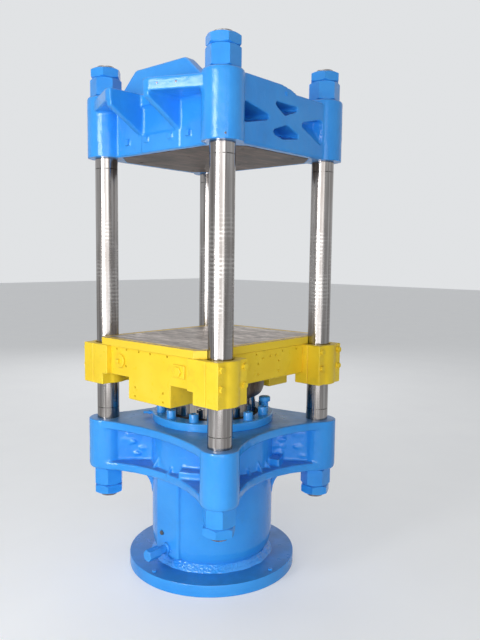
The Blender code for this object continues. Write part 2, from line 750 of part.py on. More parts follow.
def wiper_ring():
    inner = RAM_RADIUS + GAP
    outer = RAM_RADIUS + GLAND_BORE + WIPER_WIDTH - GAP
    low = GLAND_TOP - WIPER_HEIGHT + GAP
    profile = [(inner, GLAND_TOP + 0.002), (outer, GLAND_TOP - 0.001), (outer, low), (inner + 0.003, low)]
    return finish(turned("wiper_ring", profile), RUBBER)


def ram_guide_bush():
    low = STUFFING_BOTTOM + GAP
    profile = ring_profile(RAM_RADIUS + SLIDE_FIT, STUFFING_RADIUS - GAP, low, low + BUSH_HEIGHT)
    return finish(turned("ram_guide_bush", profile), BRONZE)


def ram_packing():
    """Square packing rings, stacked between the bush and the gland's nose."""
    base = STUFFING_BOTTOM + GAP + BUSH_HEIGHT + GAP
    for number in range(PACKING_RINGS):
        profile = ring_profile(RAM_RADIUS + GAP, STUFFING_RADIUS - GAP, base, base + PACKING_RING_HEIGHT)
        finish(turned(f"ram_packing_{number + 1}", profile), RUBBER)
        base += PACKING_RING_HEIGHT + GAP


def bleed_valve():
    angle = radians(VALVE_ANGLE)
    place = (GLAND_SCREW_CIRCLE * cos(angle), GLAND_SCREW_CIRCLE * sin(angle))
    low = GLAND_TOP + GAP
    knob = low + VALVE_HEIGHT
    profile = [
        (0, knob + VALVE_KNOB_HEIGHT), (VALVE_KNOB - 0.004, knob + VALVE_KNOB_HEIGHT),
        (VALVE_KNOB, knob + VALVE_KNOB_HEIGHT - 0.004), (VALVE_KNOB, knob), (VALVE_BODY, knob),
        (VALVE_BODY, low), (VALVE_SPIGOT_RADIUS, low), (VALVE_SPIGOT_RADIUS, low - VALVE_SPIGOT),
        (0, low - VALVE_SPIGOT),
    ]
    return finish(turned("bleed_valve", profile, flats=SMALL_FLATS, closed=False, at=place), BLUE)


def drain_nipple():
    """Short tube, screwed into the gland ring's side, that leads leaked oil out."""
    outward, foot = nipple_foot()
    tube = pins("drain_nipple", [foot - outward * NIPPLE_SPIGOT], NIPPLE_RADIUS,
                NIPPLE_LENGTH + NIPPLE_SPIGOT, direction=outward)
    tip = pins("nipple_tip", [foot + outward * NIPPLE_LENGTH * 0.25], NIPPLE_RADIUS * 1.5,
               NIPPLE_LENGTH * 0.25, flats=6, direction=outward)
    return finish(join(tube, tip), BLUE)


def columns():
    """Ground tie columns, shouldered on the lower casting and under the head."""
    low = LOWER_NUT_TOP - STACK - SHANK_BELOW_NUT
    high = UPPER_NUT_BOTTOM + STACK + SHANK_ABOVE_NUT
    inner = SHANK_RADIUS - THREAD_CHAMFER
    profile = [
        (0, high), (inner, high), (SHANK_RADIUS, high - THREAD_CHAMFER),
        (SHANK_RADIUS, HEAD_BOTTOM - GAP), (COLUMN_RADIUS, HEAD_BOTTOM - GAP),
        (COLUMN_RADIUS, FLANGE_TOP + GAP), (SHANK_RADIUS, FLANGE_TOP + GAP),
        (SHANK_RADIUS, low + THREAD_CHAMFER), (inner, low), (0, low),
    ]
    for name, place in corner_places().items():
        column = turned("column_" + name, profile, flats=COLUMN_FLATS, closed=False, at=place)
        finish(column, CHROME)


def hex_nuts(name, low, height, turns):
    """A nut round each column, chamfered on the face away from the casting, each turned by its own angle."""
    across = NUT_ACROSS_FLATS / 2
    corner = across / cos(pi / 6)
    pattern = pins(name + "_pattern", [(0, 0, 0)], corner, height, flats=6)
    face = across - 0.001
    wide = face + NUT_CHAMFER * 1.8
    above = low > FLANGE_TOP
    end, knee, start = (height, height - NUT_CHAMFER, -0.01) if above else (0, NUT_CHAMFER, height + 0.01)
    profile = [(0, end), (face, end), (wide, knee), (wide, start), (0, start)]
    envelope = turned(name + "_envelope", profile if above else profile[::-1], flats=12, closed=False)
    combine(pattern, envelope, "INTERSECT")
    # The bore's flats are turned against the column's, so it clears them at its narrowest.
    bore = (SHANK_RADIUS + GAP) / cos(pi / NUT_BORE_FLATS)
    bore_profile = rod_profile(bore, -0.01, height + 0.01)
    cut(pattern, turned(name + "_bore", bore_profile, flats=NUT_BORE_FLATS, closed=False))
    finish(pattern, None, helper=True)
    bpy.context.view_layer.update()
    depsgraph = bpy.context.evaluated_depsgraph_get()
    mesh = bpy.data.meshes.new_from_object(pattern.evaluated_get(depsgraph))
    mesh.name = name
    mesh.materials.clear()
    mesh.materials.append(BLUE)
    mesh.shade_smooth()
    mesh.set_sharp_from_angle(angle=CREASE_ANGLE)
    for column, (x, y) in corner_places().items():
        nut = bpy.data.objects.new(f"{name}_{column}", mesh)
        nut.location = (x, y, low)
        nut.rotation_euler.z = radians(turns[column])
        PRESS.objects.link(nut)


def spread_over_columns(obj):
    """Repeats a shape made on one column axis at the other three."""
    obj.location = (COLUMN_X, COLUMN_Y, 0)
    for label, axis in (("across", 0), ("along", 1)):
        mirror = obj.modifiers.new(label, "MIRROR")
        mirror.use_axis = (axis == 0, axis == 1, False)
        mirror.merge_threshold = 0.0001
        mirror.mirror_object = lift


def ram():
    """Solid ram, standing on the cylinder's floor and carrying the platen."""
    profile = rod_profile(RAM_RADIUS, FLOOR_TOP + GAP, PLATEN_BOTTOM - GAP, 0.006)
    return finish(turned("ram", profile, closed=False), CHROME, moving=True)


def ring_stud_places(z):
    return circle_places(RAM_RING_STUDS, RAM_RING_STUD_CIRCLE, 22.5, z)


def ram_retaining_ring():
    """Bare collar that grips the head of the ram, hung under the platen by studs with nuts."""
    high = PLATEN_BOTTOM - GAP
    low = high - RAM_RING_HEIGHT
    knee = high - RAM_RING_STRAIGHT
    inner = RAM_RADIUS + GAP
    foot = inner + 0.004
    bend = []
    for step in range(4):
        turn = radians(90) * step / 3
        bend.append((foot + (RAM_RING_RADIUS - foot) * cos(turn) ** 0.8, knee - (knee - low) * sin(turn)))
    profile = [(inner, high), (RAM_RING_RADIUS, high), *bend, (inner, low)]
    ring = turned("ram_retaining_ring", profile)
    nut = PLATEN_TOP - RING_NUT_SUNK
    join(
        ring,
        pins("ring_studs", ring_stud_places(high - 0.01), RING_STUD_RADIUS, PLATEN_TOP - 0.003 - high + 0.01,
             flats=8),
        pins("ring_nuts", ring_stud_places(nut), RING_NUT, RING_NUT_HEIGHT, flats=6),
    )
    return finish(ring, BROWN, moving=True)


def front_holes():
    """Tapped holes in the platen's front, as (x, z)."""
    strip = [(x, PLATEN_TOP - TAPPED_STRIP) for x in (-0.232, -0.160, -0.070, 0.010, 0.125)]
    apron = [(side * 0.098, APRON_BOTTOM + rise) for side in (-1, 1) for rise in (0.021, 0.061)]
    return strip + apron + [(-0.165, PLATEN_BOTTOM + 0.050)]


def side_holes():
    """Tapped holes in the platen's right and left sides, as (y, z)."""
    pairs = [(side * 0.075, PLATEN_BOTTOM + rise) for side in (-1, 1) for rise in (0.035, 0.083)]
    strip = [(y, PLATEN_TOP - TAPPED_STRIP) for y in (-0.090, 0.105, 0.215)]
    odd = [(y, PLATEN_BOTTOM + rise) for y, rise in ((-0.040, 0.106), (0.012, 0.112), (0.055, 0.112))]
    return pairs + strip + odd


def moving_platen():
    """Yellow platen: side arms, front and rear aprons, stepped back at the corners for the guides."""
    step_x = COLUMN_X - GUIDE_FLANGE_INNER_X - GAP
    step_y = COLUMN_Y - GUIDE_HALF_Y - GAP
    platen = block("moving_platen", (-PLATEN_HALF_X, -PLATEN_HALF_Y, PLATEN_BOTTOM),
                   (PLATEN_HALF_X, PLATEN_HALF_Y, PLATEN_TOP))
    for name, (side_x, side_y) in CORNERS.items():
        low_x, high_x = sorted((side_x * step_x, side_x * PLATEN_HALF_X * 1.1))
        low_y, high_y = sorted((side_y * step_y, side_y * PLATEN_HALF_Y * 1.1))
        low, high = (low_x, low_y, PLATEN_BOTTOM - 0.01), (high_x, high_y, PLATEN_TOP + 0.01)
        cut(platen, block("step_" + name, low, high))
    for name, side in (("front", -1), ("rear", 1)):
        low_y, high_y = sorted((side * PLATEN_HALF_Y, side * APRON_INNER_Y))
        join(platen, block(name + "_apron", (-APRON_HALF_X, low_y, APRON_BOTTOM),
                           (APRON_HALF_X, high_y, PLATEN_BOTTOM + 0.03)))
    add_bevel(platen, PLATEN_EDGE)
    cut(
        platen,
        pins("front_taps", [(x, -PLATEN_HALF_Y - 0.01, z) for x, z in front_holes()], TAPPED_RADIUS,
             TAPPED_DEPTH + 0.01, flats=8, direction=(0, 1, 0)),
        pins("right_taps", [(PLATEN_HALF_X + 0.01, y, z) for y, z in side_holes()], TAPPED_RADIUS,
             TAPPED_DEPTH + 0.01, flats=8, direction=(-1, 0, 0)),
        pins("stud_holes", ring_stud_places(PLATEN_BOTTOM - 0.01), RING_STUD_RADIUS + GAP,
             PLATEN_TOP - PLATEN_BOTTOM + 0.02, flats=8),
        pins("nut_pockets", ring_stud_places(PLATEN_TOP - RING_NUT_SUNK - GAP), RING_NUT + 0.0015, 0.05,
             flats=8),
    )
    return finish(platen, YELLOW, moving=True)


def platen_top_plate():
    """Bare steel plate on the platen, cropped at its corners and notched round the columns."""
    x, y, crop = TOP_PLATE_HALF_X, TOP_PLATE_HALF_Y, TOP_PLATE_CORNER
    outline = [
        (x, -y + crop), (x, y - crop), (x - crop, y), (-x + crop, y),
        (-x, y - crop), (-x, -y + crop), (-x + crop, -y), (x - crop, -y),
    ]
    low, high = TOP_PLATE_BOTTOM, TOP_PLATE_BOTTOM + TOP_PLATE_THICKNESS
    plate = slab("platen_top_plate", outline, low, high, 0.0015)
    notch = turned("column_notches", rod_profile(COLUMN_RADIUS + TOP_PLATE_NOTCH, low - 0.01, high + 0.01),
                   flats=COLUMN_FLATS, closed=False)
    spread_over_columns(notch)
    return finish(cut(plate, notch), BARE, moving=True)


def guide_bolt_places(side_x, side_y, x):
    """Where a guide's four bolts pass the plane at x, measured out from the column's axis."""
    centre_x, centre_y = side_x * COLUMN_X, side_y * COLUMN_Y
    return [
        (centre_x + side_x * x, centre_y + across * GUIDE_BOLT_OUT, z)
        for across in (-1, 1) for z in (PLATEN_BOTTOM + GUIDE_BOLT_LOW, PLATEN_BOTTOM + GUIDE_BOLT_HIGH)
    ]


def half_guide(name, place, side, ear_x, radius):
    """One half of a split guide: a half round with an ear down each side, on the side of the column given."""
    turn = acos(ear_x / radius)
    outline = [
        (GUIDE_SPLIT / 2, -GUIDE_HALF_Y), (ear_x, -GUIDE_HALF_Y), *arc((0, 0), radius, -turn, turn, 8),
        (ear_x, GUIDE_HALF_Y), (GUIDE_SPLIT / 2, GUIDE_HALF_Y),
    ]
    placed = [(place[0] + side * x, place[1] + y) for x, y in outline]
    return slab(name, placed if side > 0 else placed[::-1], GUIDE_BOTTOM, GUIDE_TOP, GUIDE_EDGE)


def guide_block(name, side_x, side_y):
    """Inner half of a split guide, with the flange that carries it on the platen."""
    centre = centre_x, centre_y = side_x * COLUMN_X, side_y * COLUMN_Y
    inner_x, outer_x = (centre_x - side_x * out for out in (GUIDE_FLANGE_INNER_X, GUIDE_SPLIT + 0.01))
    flange_low, flange_high = sorted((inner_x, outer_x))
    low_y, high_y = centre_y - GUIDE_HALF_Y, centre_y + GUIDE_HALF_Y
    piece = half_guide("guide_block_" + name, centre, -side_x, GUIDE_INNER_EAR_X, GUIDE_INNER_RADIUS)
    low, high = (flange_low, low_y, PLATEN_BOTTOM), (flange_high, high_y, GUIDE_TOP)
    join(piece, block("guide_flange_" + name, low, high, GUIDE_EDGE))
    reach = GUIDE_BOLT_LENGTH - GUIDE_EAR_X + 0.006
    cut(
        piece,
        turned("guide_bore_" + name, rod_profile(GUIDE_BORE_RADIUS, GUIDE_BOTTOM - 0.01, GUIDE_TOP + 0.01),
               flats=COLUMN_FLATS, closed=False, at=(centre_x, centre_y)),
        pins("guide_taps_" + name, guide_bolt_places(side_x, side_y, 0.01), GUIDE_BOLT_RADIUS + GAP,
             reach + 0.01, flats=8, direction=(-side_x, 0, 0)),
    )
    return finish(piece, YELLOW, moving=True)


def guide_cap(name, side_x, side_y):
    """Outer half of a split guide: a half round with an ear down each side, and its four bolts."""
    centre_x, centre_y = side_x * COLUMN_X, side_y * COLUMN_Y
    piece = half_guide("guide_cap_" + name, (centre_x, centre_y), side_x, GUIDE_EAR_X, GUIDE_CAP_RADIUS)
    cut(
        piece,
        turned("cap_bore_" + name, rod_profile(GUIDE_BORE_RADIUS, GUIDE_BOTTOM - 0.01, GUIDE_TOP + 0.01),
               flats=COLUMN_FLATS, closed=False, at=(centre_x, centre_y)),
    )
    sunk = 0.004
    heads = guide_bolt_places(side_x, side_y, GUIDE_EAR_X - sunk)
    join(
        piece,
        pins("bolt_heads_" + name, heads, GUIDE_BOLT_HEAD / cos(pi / 6), GUIDE_BOLT_HEAD_HEIGHT + sunk,
             flats=6, direction=(side_x, 0, 0)),
        pins("bolt_shanks_" + name, heads, GUIDE_BOLT_RADIUS, GUIDE_BOLT_LENGTH, flats=8,
             direction=(-side_x, 0, 0)),
    )
    return finish(piece, YELLOW, moving=True)


def guide_bush(name, side_x, side_y):
    low, high = GUIDE_BOTTOM + GUIDE_BUSH_SHORT, GUIDE_TOP - GUIDE_BUSH_SHORT
    profile = ring_profile(COLUMN_RADIUS + SLIDE_FIT, GUIDE_BORE_RADIUS - GAP, low, high)
    bush = turned("guide_bush_" + name, profile, flats=COLUMN_FLATS,
                  at=(side_x * COLUMN_X, side_y * COLUMN_Y))
    return finish(bush, BRONZE, moving=True)


def guides():
    for name, (side_x, side_y) in CORNERS.items():
        guide_block(name, side_x, side_y)
        guide_cap(name, side_x, side_y)
        guide_bush(name, side_x, side_y)


def platen_pins():
    """Round boss with a square pin on the left of the front, square pad with a nut on the right."""
    face = -PLATEN_HALF_Y - GAP
    disc = pins("left_pin", [(-PIN_X, face, PIN_Z)], PIN_DISC_RADIUS, PIN_DISC_HEIGHT, flats=20,
                direction=(0, -1, 0))
    add_bevel(disc, 0.003)
    half = PIN_SQUARE / 2
    front = face - PIN_DISC_HEIGHT - PIN_SQUARE_HEIGHT
    low, high = (-PIN_X - half, front, PIN_Z - half), (-PIN_X + half, face - 0.002, PIN_Z + half)
    square = block("pin_square", low, high, 0.002)
    finish(join(disc, square), YELLOW, moving=True)
    half_x, half_z = PAD_SIZE / 2, PAD_TALL / 2
    low, high = (PIN_X - half_x, face - 0.008, PIN_Z - half_z), (PIN_X + half_x, face, PIN_Z + half_z)
    pad = block("right_pad", low, high, 0.003)
    nut = pins("pad_nut", [(PIN_X, face - 0.004, PIN_Z)], PAD_NUT / 2 / cos(pi / 6), PAD_NUT_HEIGHT + 0.004,
               flats=6, direction=(0, -1, 0), turn=radians(30))
    finish(join(pad, nut), YELLOW, moving=True)


def head_boss(name, place):
    """Column boss of the head, rounded at its upper edge."""
    bend = [
        (HEAD_BOSS_RADIUS - HEAD_BOSS_ROUNDING * (1 - sin(radians(turn))),
         HEAD_BOSS_TOP - HEAD_BOSS_ROUNDING * (1 - cos(radians(turn))))
        for turn in (0, 45, 90)
    ]
    profile = [(0, HEAD_BOSS_TOP), *bend, (HEAD_BOSS_RADIUS, HEAD_BOTTOM), (0, HEAD_BOTTOM)]
    return turned(name, profile, flats=BOSS_FLATS, closed=False, at=place)


def ear(name, side):
    """Bracket on the head's front: a thick shelf that runs out from the boss, and a gusset under its end."""
    far = EAR_NEAR_X + EAR_GUSSET_THICKNESS
    root = -HEAD_HALF_Y + 0.02
    foot = HEAD_BOTTOM + EAR_GUSSET_FOOT
    shelf = [
        (EAR_NEAR_X, root), (EAR_NEAR_X, -EAR_REACH_Y), (far, -EAR_REACH_Y), (COLUMN_X - 0.018, -EAR_BOSS_Y),
        (COLUMN_X, root),
    ]
    placed = [(side * x, y) for x, y in shelf]
    flat = slab("shelf_" + name, placed if side > 0 else placed[::-1], EAR_BOTTOM, EAR_TOP, 0.004)
    web = fillet(
        [(root, foot), (root, EAR_TOP - 0.004), (-EAR_REACH_Y + 0.004, EAR_TOP - 0.004),
         (-EAR_REACH_Y + 0.004, HEAD_BOTTOM + EAR_GUSSET_TIP), (-HEAD_HALF_Y - 0.012, foot)],
        [0, 0, 0, 0.012, 0],
    )
    low_x, high_x = sorted((side * (EAR_NEAR_X + 0.001), side * far))
    gusset = facing(slab("ear_gusset_" + name, web[::-1], low_x, high_x, 0.003), "X")
    return [flat, gusset]


def side_pocket(name, side, mouth, depth, narrowing):
    """A cored pocket in a side wall: its roof runs straight in and its floor rises from the mouth."""
    mouth = [(y, HEAD_BOTTOM + rise) for y, rise in mouth]
    roof = max(z for _, z in mouth)
    middle = sum(y for y, _ in mouth) / len(mouth)
    inner = [(middle + (y - middle) * 0.9, roof - (roof - z) * narrowing) for y, z in mouth]
    outside = HEAD_HALF_X + 0.01
    shape = bmesh.new()
    for x, outline in ((outside, mouth), (HEAD_HALF_X - 0.006, mouth), (HEAD_HALF_X - depth, inner)):
        for y, z in outline:
            shape.verts.new((side * x, y, z))
    bmesh.ops.convex_hull(shape, input=shape.verts)
    return bpy.data.objects.new(f"pocket_{name}_{side}", mesh_of("pocket", shape))


def side_pockets(side):
    """Four pockets that leave a cross of ribs in a side wall."""
    return [
        side_pocket("front", side, fillet(
            [(-0.284, 0.086), (-0.284, 0.175), (-0.108, 0.138), (-0.135, 0.118)], 0.010, 2), 0.16, 0.75),
        side_pocket("rear", side, fillet(
            [(0.277, 0.060), (0.120, 0.126), (0.112, 0.140), (0.277, 0.180)],
            [0.012, 0.006, 0.006, 0.012], 2), 0.05, 0.25),
        side_pocket("upper", side, fillet(
            [(-0.110, 0.208), (0.128, 0.206), (-0.010, 0.156)], 0.010, 2), 0.10, 0.6),
        side_pocket("lower", side, fillet(
            [(-0.120, 0.074), (0.006, 0.116), (0.120, 0.074), (-0.020, 0.052)], 0.010, 2), 0.10, 0.6),
    ]


def head_walls():
    """What stands above the head's deck: the front and rear crests and the side walls' tops."""
    foot = HEAD_DECK - 0.02
    crest = fillet(
        [(-CREST_HALF_FOOT, foot), (CREST_HALF_FOOT, foot), (CREST_HALF_TOP, CREST_TOP),
         (-CREST_HALF_TOP, CREST_TOP)],
        [0, 0, CREST_ROUNDING, CREST_ROUNDING],
    )
    rail = [
        (-HEAD_HALF_Y, foot), (SIDE_WALL_DROP_END, foot), (SIDE_WALL_DROP_END, HEAD_DECK - 0.001),
        (SIDE_WALL_FLAT_END + 0.06, SIDE_WALL_TOP - 0.010), (SIDE_WALL_FLAT_END, SIDE_WALL_TOP),
        (-HEAD_HALF_Y, SIDE_WALL_TOP),
    ]
    walls = []
    for name, side in (("front", -1), ("rear", 1)):
        low_y, high_y = sorted((side * HEAD_HALF_Y, side * (HEAD_HALF_Y - HEAD_WALL)))
        walls.append(facing(slab("crest_" + name, crest, -high_y, -low_y, 0.006), "Y"))
    for name, side in (("right", 1), ("left", -1)):
        low_x, high_x = sorted((side * HEAD_HALF_X, side * (HEAD_HALF_X - HEAD_WALL)))
        walls.append(facing(slab("rail_" + name, rail, low_x, high_x), "X"))
    return walls


def top_head():
    """Head casting: a box between four bosses, crested walls, pocketed sides and two brackets in front."""
    head = block("top_head", (-HEAD_HALF_X, -HEAD_HALF_Y, HEAD_BOTTOM), (HEAD_HALF_X, HEAD_HALF_Y, HEAD_DECK),
                 HEAD_EDGE)
    join(head, *head_walls())
    for name, place in corner_places().items():
        join(head, head_boss("head_boss_" + name, place))
    join(head, *ear("right", 1), *ear("left", -1))
    front = -HEAD_HALF_Y
    reach = EAR_NEAR_X + 0.01
    low, high = (-reach, front - LEDGE_DEPTH, EAR_BOTTOM), (reach, front + 0.01, EAR_TOP - 0.002)
    join(head, block("ledge", low, high, 0.003))
    low, high = (PANEL_LEFT, front - PANEL_DEPTH, HEAD_BOTTOM + 0.001), (PANEL_RIGHT, front + 0.01, PANEL_TOP)
    join(head, block("panel", low, high, 0.002))
    half = LUG_SIZE / 2
    for number, x in enumerate(LUG_XS):
        join(head, block(f"lug_{number}", (x - half, front - LUG_DEPTH - PANEL_DEPTH, LUG_Z - half),
                         (x + half, front + 0.004, LUG_Z + half), 0.002))
    low_z = HEAD_BOTTOM - 0.01
    screw_holes = [(x, y, FACE_PLATE_SEAT - 0.002) for x, y in face_screw_places()]
    cut(
        head,
        *side_pockets(1),
        *side_pockets(-1),
        slab("face_pocket", face_plate_outline(GAP), low_z, FACE_PLATE_SEAT + GAP),
        column_holes("upper_column_holes", low_z, HEAD_BOSS_TOP + 0.01),
        pins("face_screw_holes", screw_holes, FACE_SCREW_RADIUS + GAP, FACE_SCREW_GRIP + 0.004, flats=8),
    )
    return finish(head, BLUE)


def face_plate_outline(margin):
    x = FACE_PLATE_HALF_X + margin
    y = FACE_PLATE_HALF_Y + margin
    crop = FACE_PLATE_CORNER + margin * (2 - 2**0.5)
    return [
        (x, -y + crop), (x, y - crop), (x - crop, y), (-x + crop, y),
        (-x, y - crop), (-x, -y + crop), (-x + crop, -y), (x - crop, -y),
    ]


def face_screw_places():
    return [(x, y) for x in (-0.34, 0.0, 0.34) for y in (-0.18, 0.18)]


def head_face_plate():
    """Bare steel pressing face let into the underside of the head, held by six socket screws."""
    plate = slab("head_face_plate", face_plate_outline(0), HEAD_BOTTOM, FACE_PLATE_SEAT)

    def screws(name, low, radius, high, flats):
        return pins(name, [(x, y, low) for x, y in face_screw_places()], radius, high - low, flats=flats)

    below = HEAD_BOTTOM - 0.01
    depth = HEAD_BOTTOM + FACE_SCREW_SOCKET / 2
    tip = FACE_PLATE_SEAT + FACE_SCREW_GRIP
    join(plate, screws("face_screws", FACE_PLATE_SEAT - 0.01, FACE_SCREW_RADIUS, tip, 8))
    cut(
        plate,
        screws("face_sockets", below, FACE_SCREW_SOCKET / 2 / cos(pi / 6), depth, 6),
    )
    return finish(plate, BARE)


def build():
    base_flange()
    foot_weld()
    cylinder_casting()
    supply_fitting()
    gland_ring()
    wiper_ring()
    ram_guide_bush()
    ram_packing()
    bleed_valve()
    drain_nipple()
    columns()
    hex_nuts("lower_nut", LOWER_NUT_TOP - NUT_HEIGHT, NUT_HEIGHT, LOWER_NUT_TURN)
    hex_nuts("lower_jam_nut", LOWER_NUT_TOP - STACK, JAM_HEIGHT, LOWER_JAM_TURN)
    hex_nuts("upper_nut", UPPER_NUT_BOTTOM, NUT_HEIGHT, UPPER_NUT_TURN)
    hex_nuts("upper_jam_nut", UPPER_NUT_BOTTOM + NUT_HEIGHT + GAP, JAM_HEIGHT, UPPER_JAM_TURN)
    ram()
    ram_retaining_ring()
    moving_platen()
    platen_top_plate()
    guides()
    platen_pins()
    top_head()
    head_face_plate()


build()
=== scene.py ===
import math

import bmesh
import bpy
import numpy as np
from mathutils import Matrix, Vector, noise


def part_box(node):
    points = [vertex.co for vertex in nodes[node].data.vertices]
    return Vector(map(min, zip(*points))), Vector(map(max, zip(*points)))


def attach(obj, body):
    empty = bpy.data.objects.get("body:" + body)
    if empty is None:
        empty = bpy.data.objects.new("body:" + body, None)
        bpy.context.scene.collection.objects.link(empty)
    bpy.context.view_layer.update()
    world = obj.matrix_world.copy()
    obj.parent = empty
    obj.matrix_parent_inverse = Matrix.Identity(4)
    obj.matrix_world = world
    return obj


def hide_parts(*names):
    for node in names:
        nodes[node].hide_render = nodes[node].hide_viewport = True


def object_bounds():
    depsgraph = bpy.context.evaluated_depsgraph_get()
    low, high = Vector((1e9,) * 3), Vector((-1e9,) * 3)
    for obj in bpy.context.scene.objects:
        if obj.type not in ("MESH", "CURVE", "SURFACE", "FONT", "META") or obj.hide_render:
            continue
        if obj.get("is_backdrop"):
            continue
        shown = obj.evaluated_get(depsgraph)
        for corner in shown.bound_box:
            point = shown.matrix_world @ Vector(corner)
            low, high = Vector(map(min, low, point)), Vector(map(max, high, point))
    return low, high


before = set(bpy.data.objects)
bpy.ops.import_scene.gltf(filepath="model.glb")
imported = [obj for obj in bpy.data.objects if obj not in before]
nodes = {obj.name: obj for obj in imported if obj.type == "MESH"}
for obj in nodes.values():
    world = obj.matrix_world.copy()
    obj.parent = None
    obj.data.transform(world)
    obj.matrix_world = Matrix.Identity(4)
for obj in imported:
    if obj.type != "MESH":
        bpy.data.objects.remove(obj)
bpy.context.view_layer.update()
pressFrame = "press_frame"
risingPlaten = "rising_platen"
columnX, columnY = 0.390, 0.360
corners = {"front_right": (1, -1), "front_left": (-1, -1), "rear_right": (1, 1), "rear_left": (-1, 1)}
chance = np.random.default_rng(11)


def linear(hexColour):
    # sRGB hex to the linear values that Blender works in
    parts = [int(hexColour[i:i + 2], 16) / 255 for i in (1, 3, 5)]
    return tuple(p / 12.92 if p <= 0.04045 else ((p + 0.055) / 1.055) ** 2.4 for p in parts) + (1.0,)


def perMetre(sizeMm):
    # texture scale whose features are about this many millimetres across
    return 1000 / sizeMm


def addNode(tree, kind, sockets=None, stops=None, **settings):
    # a node with its settings; a socket takes a value or another node's output
    node = tree.nodes.new("ShaderNode" + kind)
    for name, value in settings.items():
        setattr(node, name, value)
    for name, value in (sockets or {}).items():
        if isinstance(value, bpy.types.NodeSocket):
            tree.links.new(value, node.inputs[name])
        else:
            node.inputs[name].default_value = value
    if stops:
        ramp = node.color_ramp
        while len(ramp.elements) < len(stops):
            ramp.elements.new(0.5)
        for element, (place, colour) in zip(ramp.elements, stops):
            element.position = place
            element.color = linear(colour)
    return node


def startMaterial(name, **shaderValues):
    # an empty material with a Principled shader; constant values sit on the shader itself
    material = bpy.data.materials.new(name)
    material.use_nodes = True
    tree = material.node_tree
    tree.nodes.clear()
    output = tree.nodes.new("ShaderNodeOutputMaterial")
    shader = addNode(tree, "BsdfPrincipled", {key.replace("_", " "): value for key, value in shaderValues.items()})
    tree.links.new(shader.outputs[0], output.inputs["Surface"])
    return material, tree, shader


def mixColour(tree, factor, first, second):
    # sockets 6 and 7 are the two colours of a Mix node, output 2 the result
    return addNode(tree, "Mix", {0: factor, 6: first, 7: second}, data_type="RGBA").outputs[2]


def combined(tree, operation, *values, **settings):
    # one Math node over numbers and other nodes' outputs
    return addNode(tree, "Math", dict(enumerate(values)), operation=operation, **settings).outputs[0]


def along(tree, vector, axis):
    return addNode(tree, "SeparateXYZ", {"Vector": vector}).outputs[axis]


def span(tree, value, low, high, start=0.0, end=1.0):
    # a value between low and high, stretched to run from start to end
    return addNode(tree, "MapRange", {"Value": value, "From Min": low, "From Max": high, "To Min": start,
                                      "To Max": end}).outputs["Result"]


def grain(tree, place, sizeMm, detail=3.0, stretch=None, **sockets):
    # fractal noise with features of about this size, stretched along an axis where its factor is small
    if stretch:
        place = addNode(tree, "Mapping", {"Vector": place, "Scale": stretch}).outputs["Vector"]
    values = {"Vector": place, "Scale": perMetre(sizeMm), "Detail": detail, **sockets}
    return addNode(tree, "TexNoise", values).outputs["Fac"]


def bumps(tree, shader, layers):
    # heights in millimetres, stacked into one normal
    normal = None
    for height, depthMm in layers:
        sockets = {"Height": height, "Distance": depthMm / 1000, "Strength": 1.0}
        if normal:
            sockets["Normal"] = normal
        normal = addNode(tree, "Bump", sockets).outputs["Normal"]
    tree.links.new(normal, shader.inputs["Normal"])


def enamel(name, look):
    # Alkyd machine enamel, sprayed thick and glossy over primer; dust dulls what faces up, and a dark dust colour
    # also paints shade onto the upper faces
    material, tree, shader = startMaterial(name, Metallic=0.0, Specular_IOR_Level=look["shine"],
                                           Coat_Weight=look["coat"], Coat_Roughness=0.06)
    place = addNode(tree, "TexCoord").outputs["Object"]
    body = addNode(tree, "ValToRGB", {"Fac": grain(tree, place, look["cloudMm"], 4.0)},
                   stops=[(0.3, look["deep"]), (0.5, look["colour"]), (0.72, look["light"])]).outputs["Color"]
    # handling marks in faint blotches
    blotch = grain(tree, place, look["blotchMm"], 8.0, Roughness=0.62)
    body = mixColour(tree, span(tree, blotch, look["dirtFrom"], 0.8, 0.0, look["dirt"]), body,
                     linear(look["dirtColour"]))
    # workshop dust and oil on the upper faces, thin in places; where the dust colour is dark it is also painted shade
    # on these faces
    flat = span(tree, along(tree, addNode(tree, "NewGeometry").outputs["Normal"], "Z"), 0.55, 0.96)
    patchy = span(tree, grain(tree, place, look["dustAndShadeMm"], 7.0, Roughness=0.6), 0.3, 0.62, 0.45, 1.0)
    dustAndShade = combined(tree, "MULTIPLY", combined(tree, "MULTIPLY", flat, patchy), look["dustAndShade"])
    body = mixColour(tree, dustAndShade, body, linear(look["dustAndShadeColour"]))
    # small chips through to the iron
    chips = span(tree, grain(tree, place, look["chipMm"]), look["chipFrom"], look["chipFrom"] + 0.02)
    body = mixColour(tree, chips, body, linear(look["chipColour"]))
    tree.links.new(body, shader.inputs["Base Color"])
    # gloss that varies with the film and is lost where the upper faces are dusty
    shine = span(tree, blotch, 0.3, 0.75, *look["gloss"])
    tree.links.new(combined(tree, "MULTIPLY_ADD", dustAndShade, 0.3, shine), shader.inputs["Roughness"])
    # runs down the upright faces, the casting's skin, then orange peel
    bumps(tree, shader, [
        (grain(tree, place, look["runMm"], 2.0, (1.0, 1.0, 0.12)), look["runDepthMm"]),
        (grain(tree, place, look["skinMm"]), look["skinDepthMm"]),
        (grain(tree, place, look["peelMm"], 1.0), look["peelDepthMm"]),
    ])
    return material


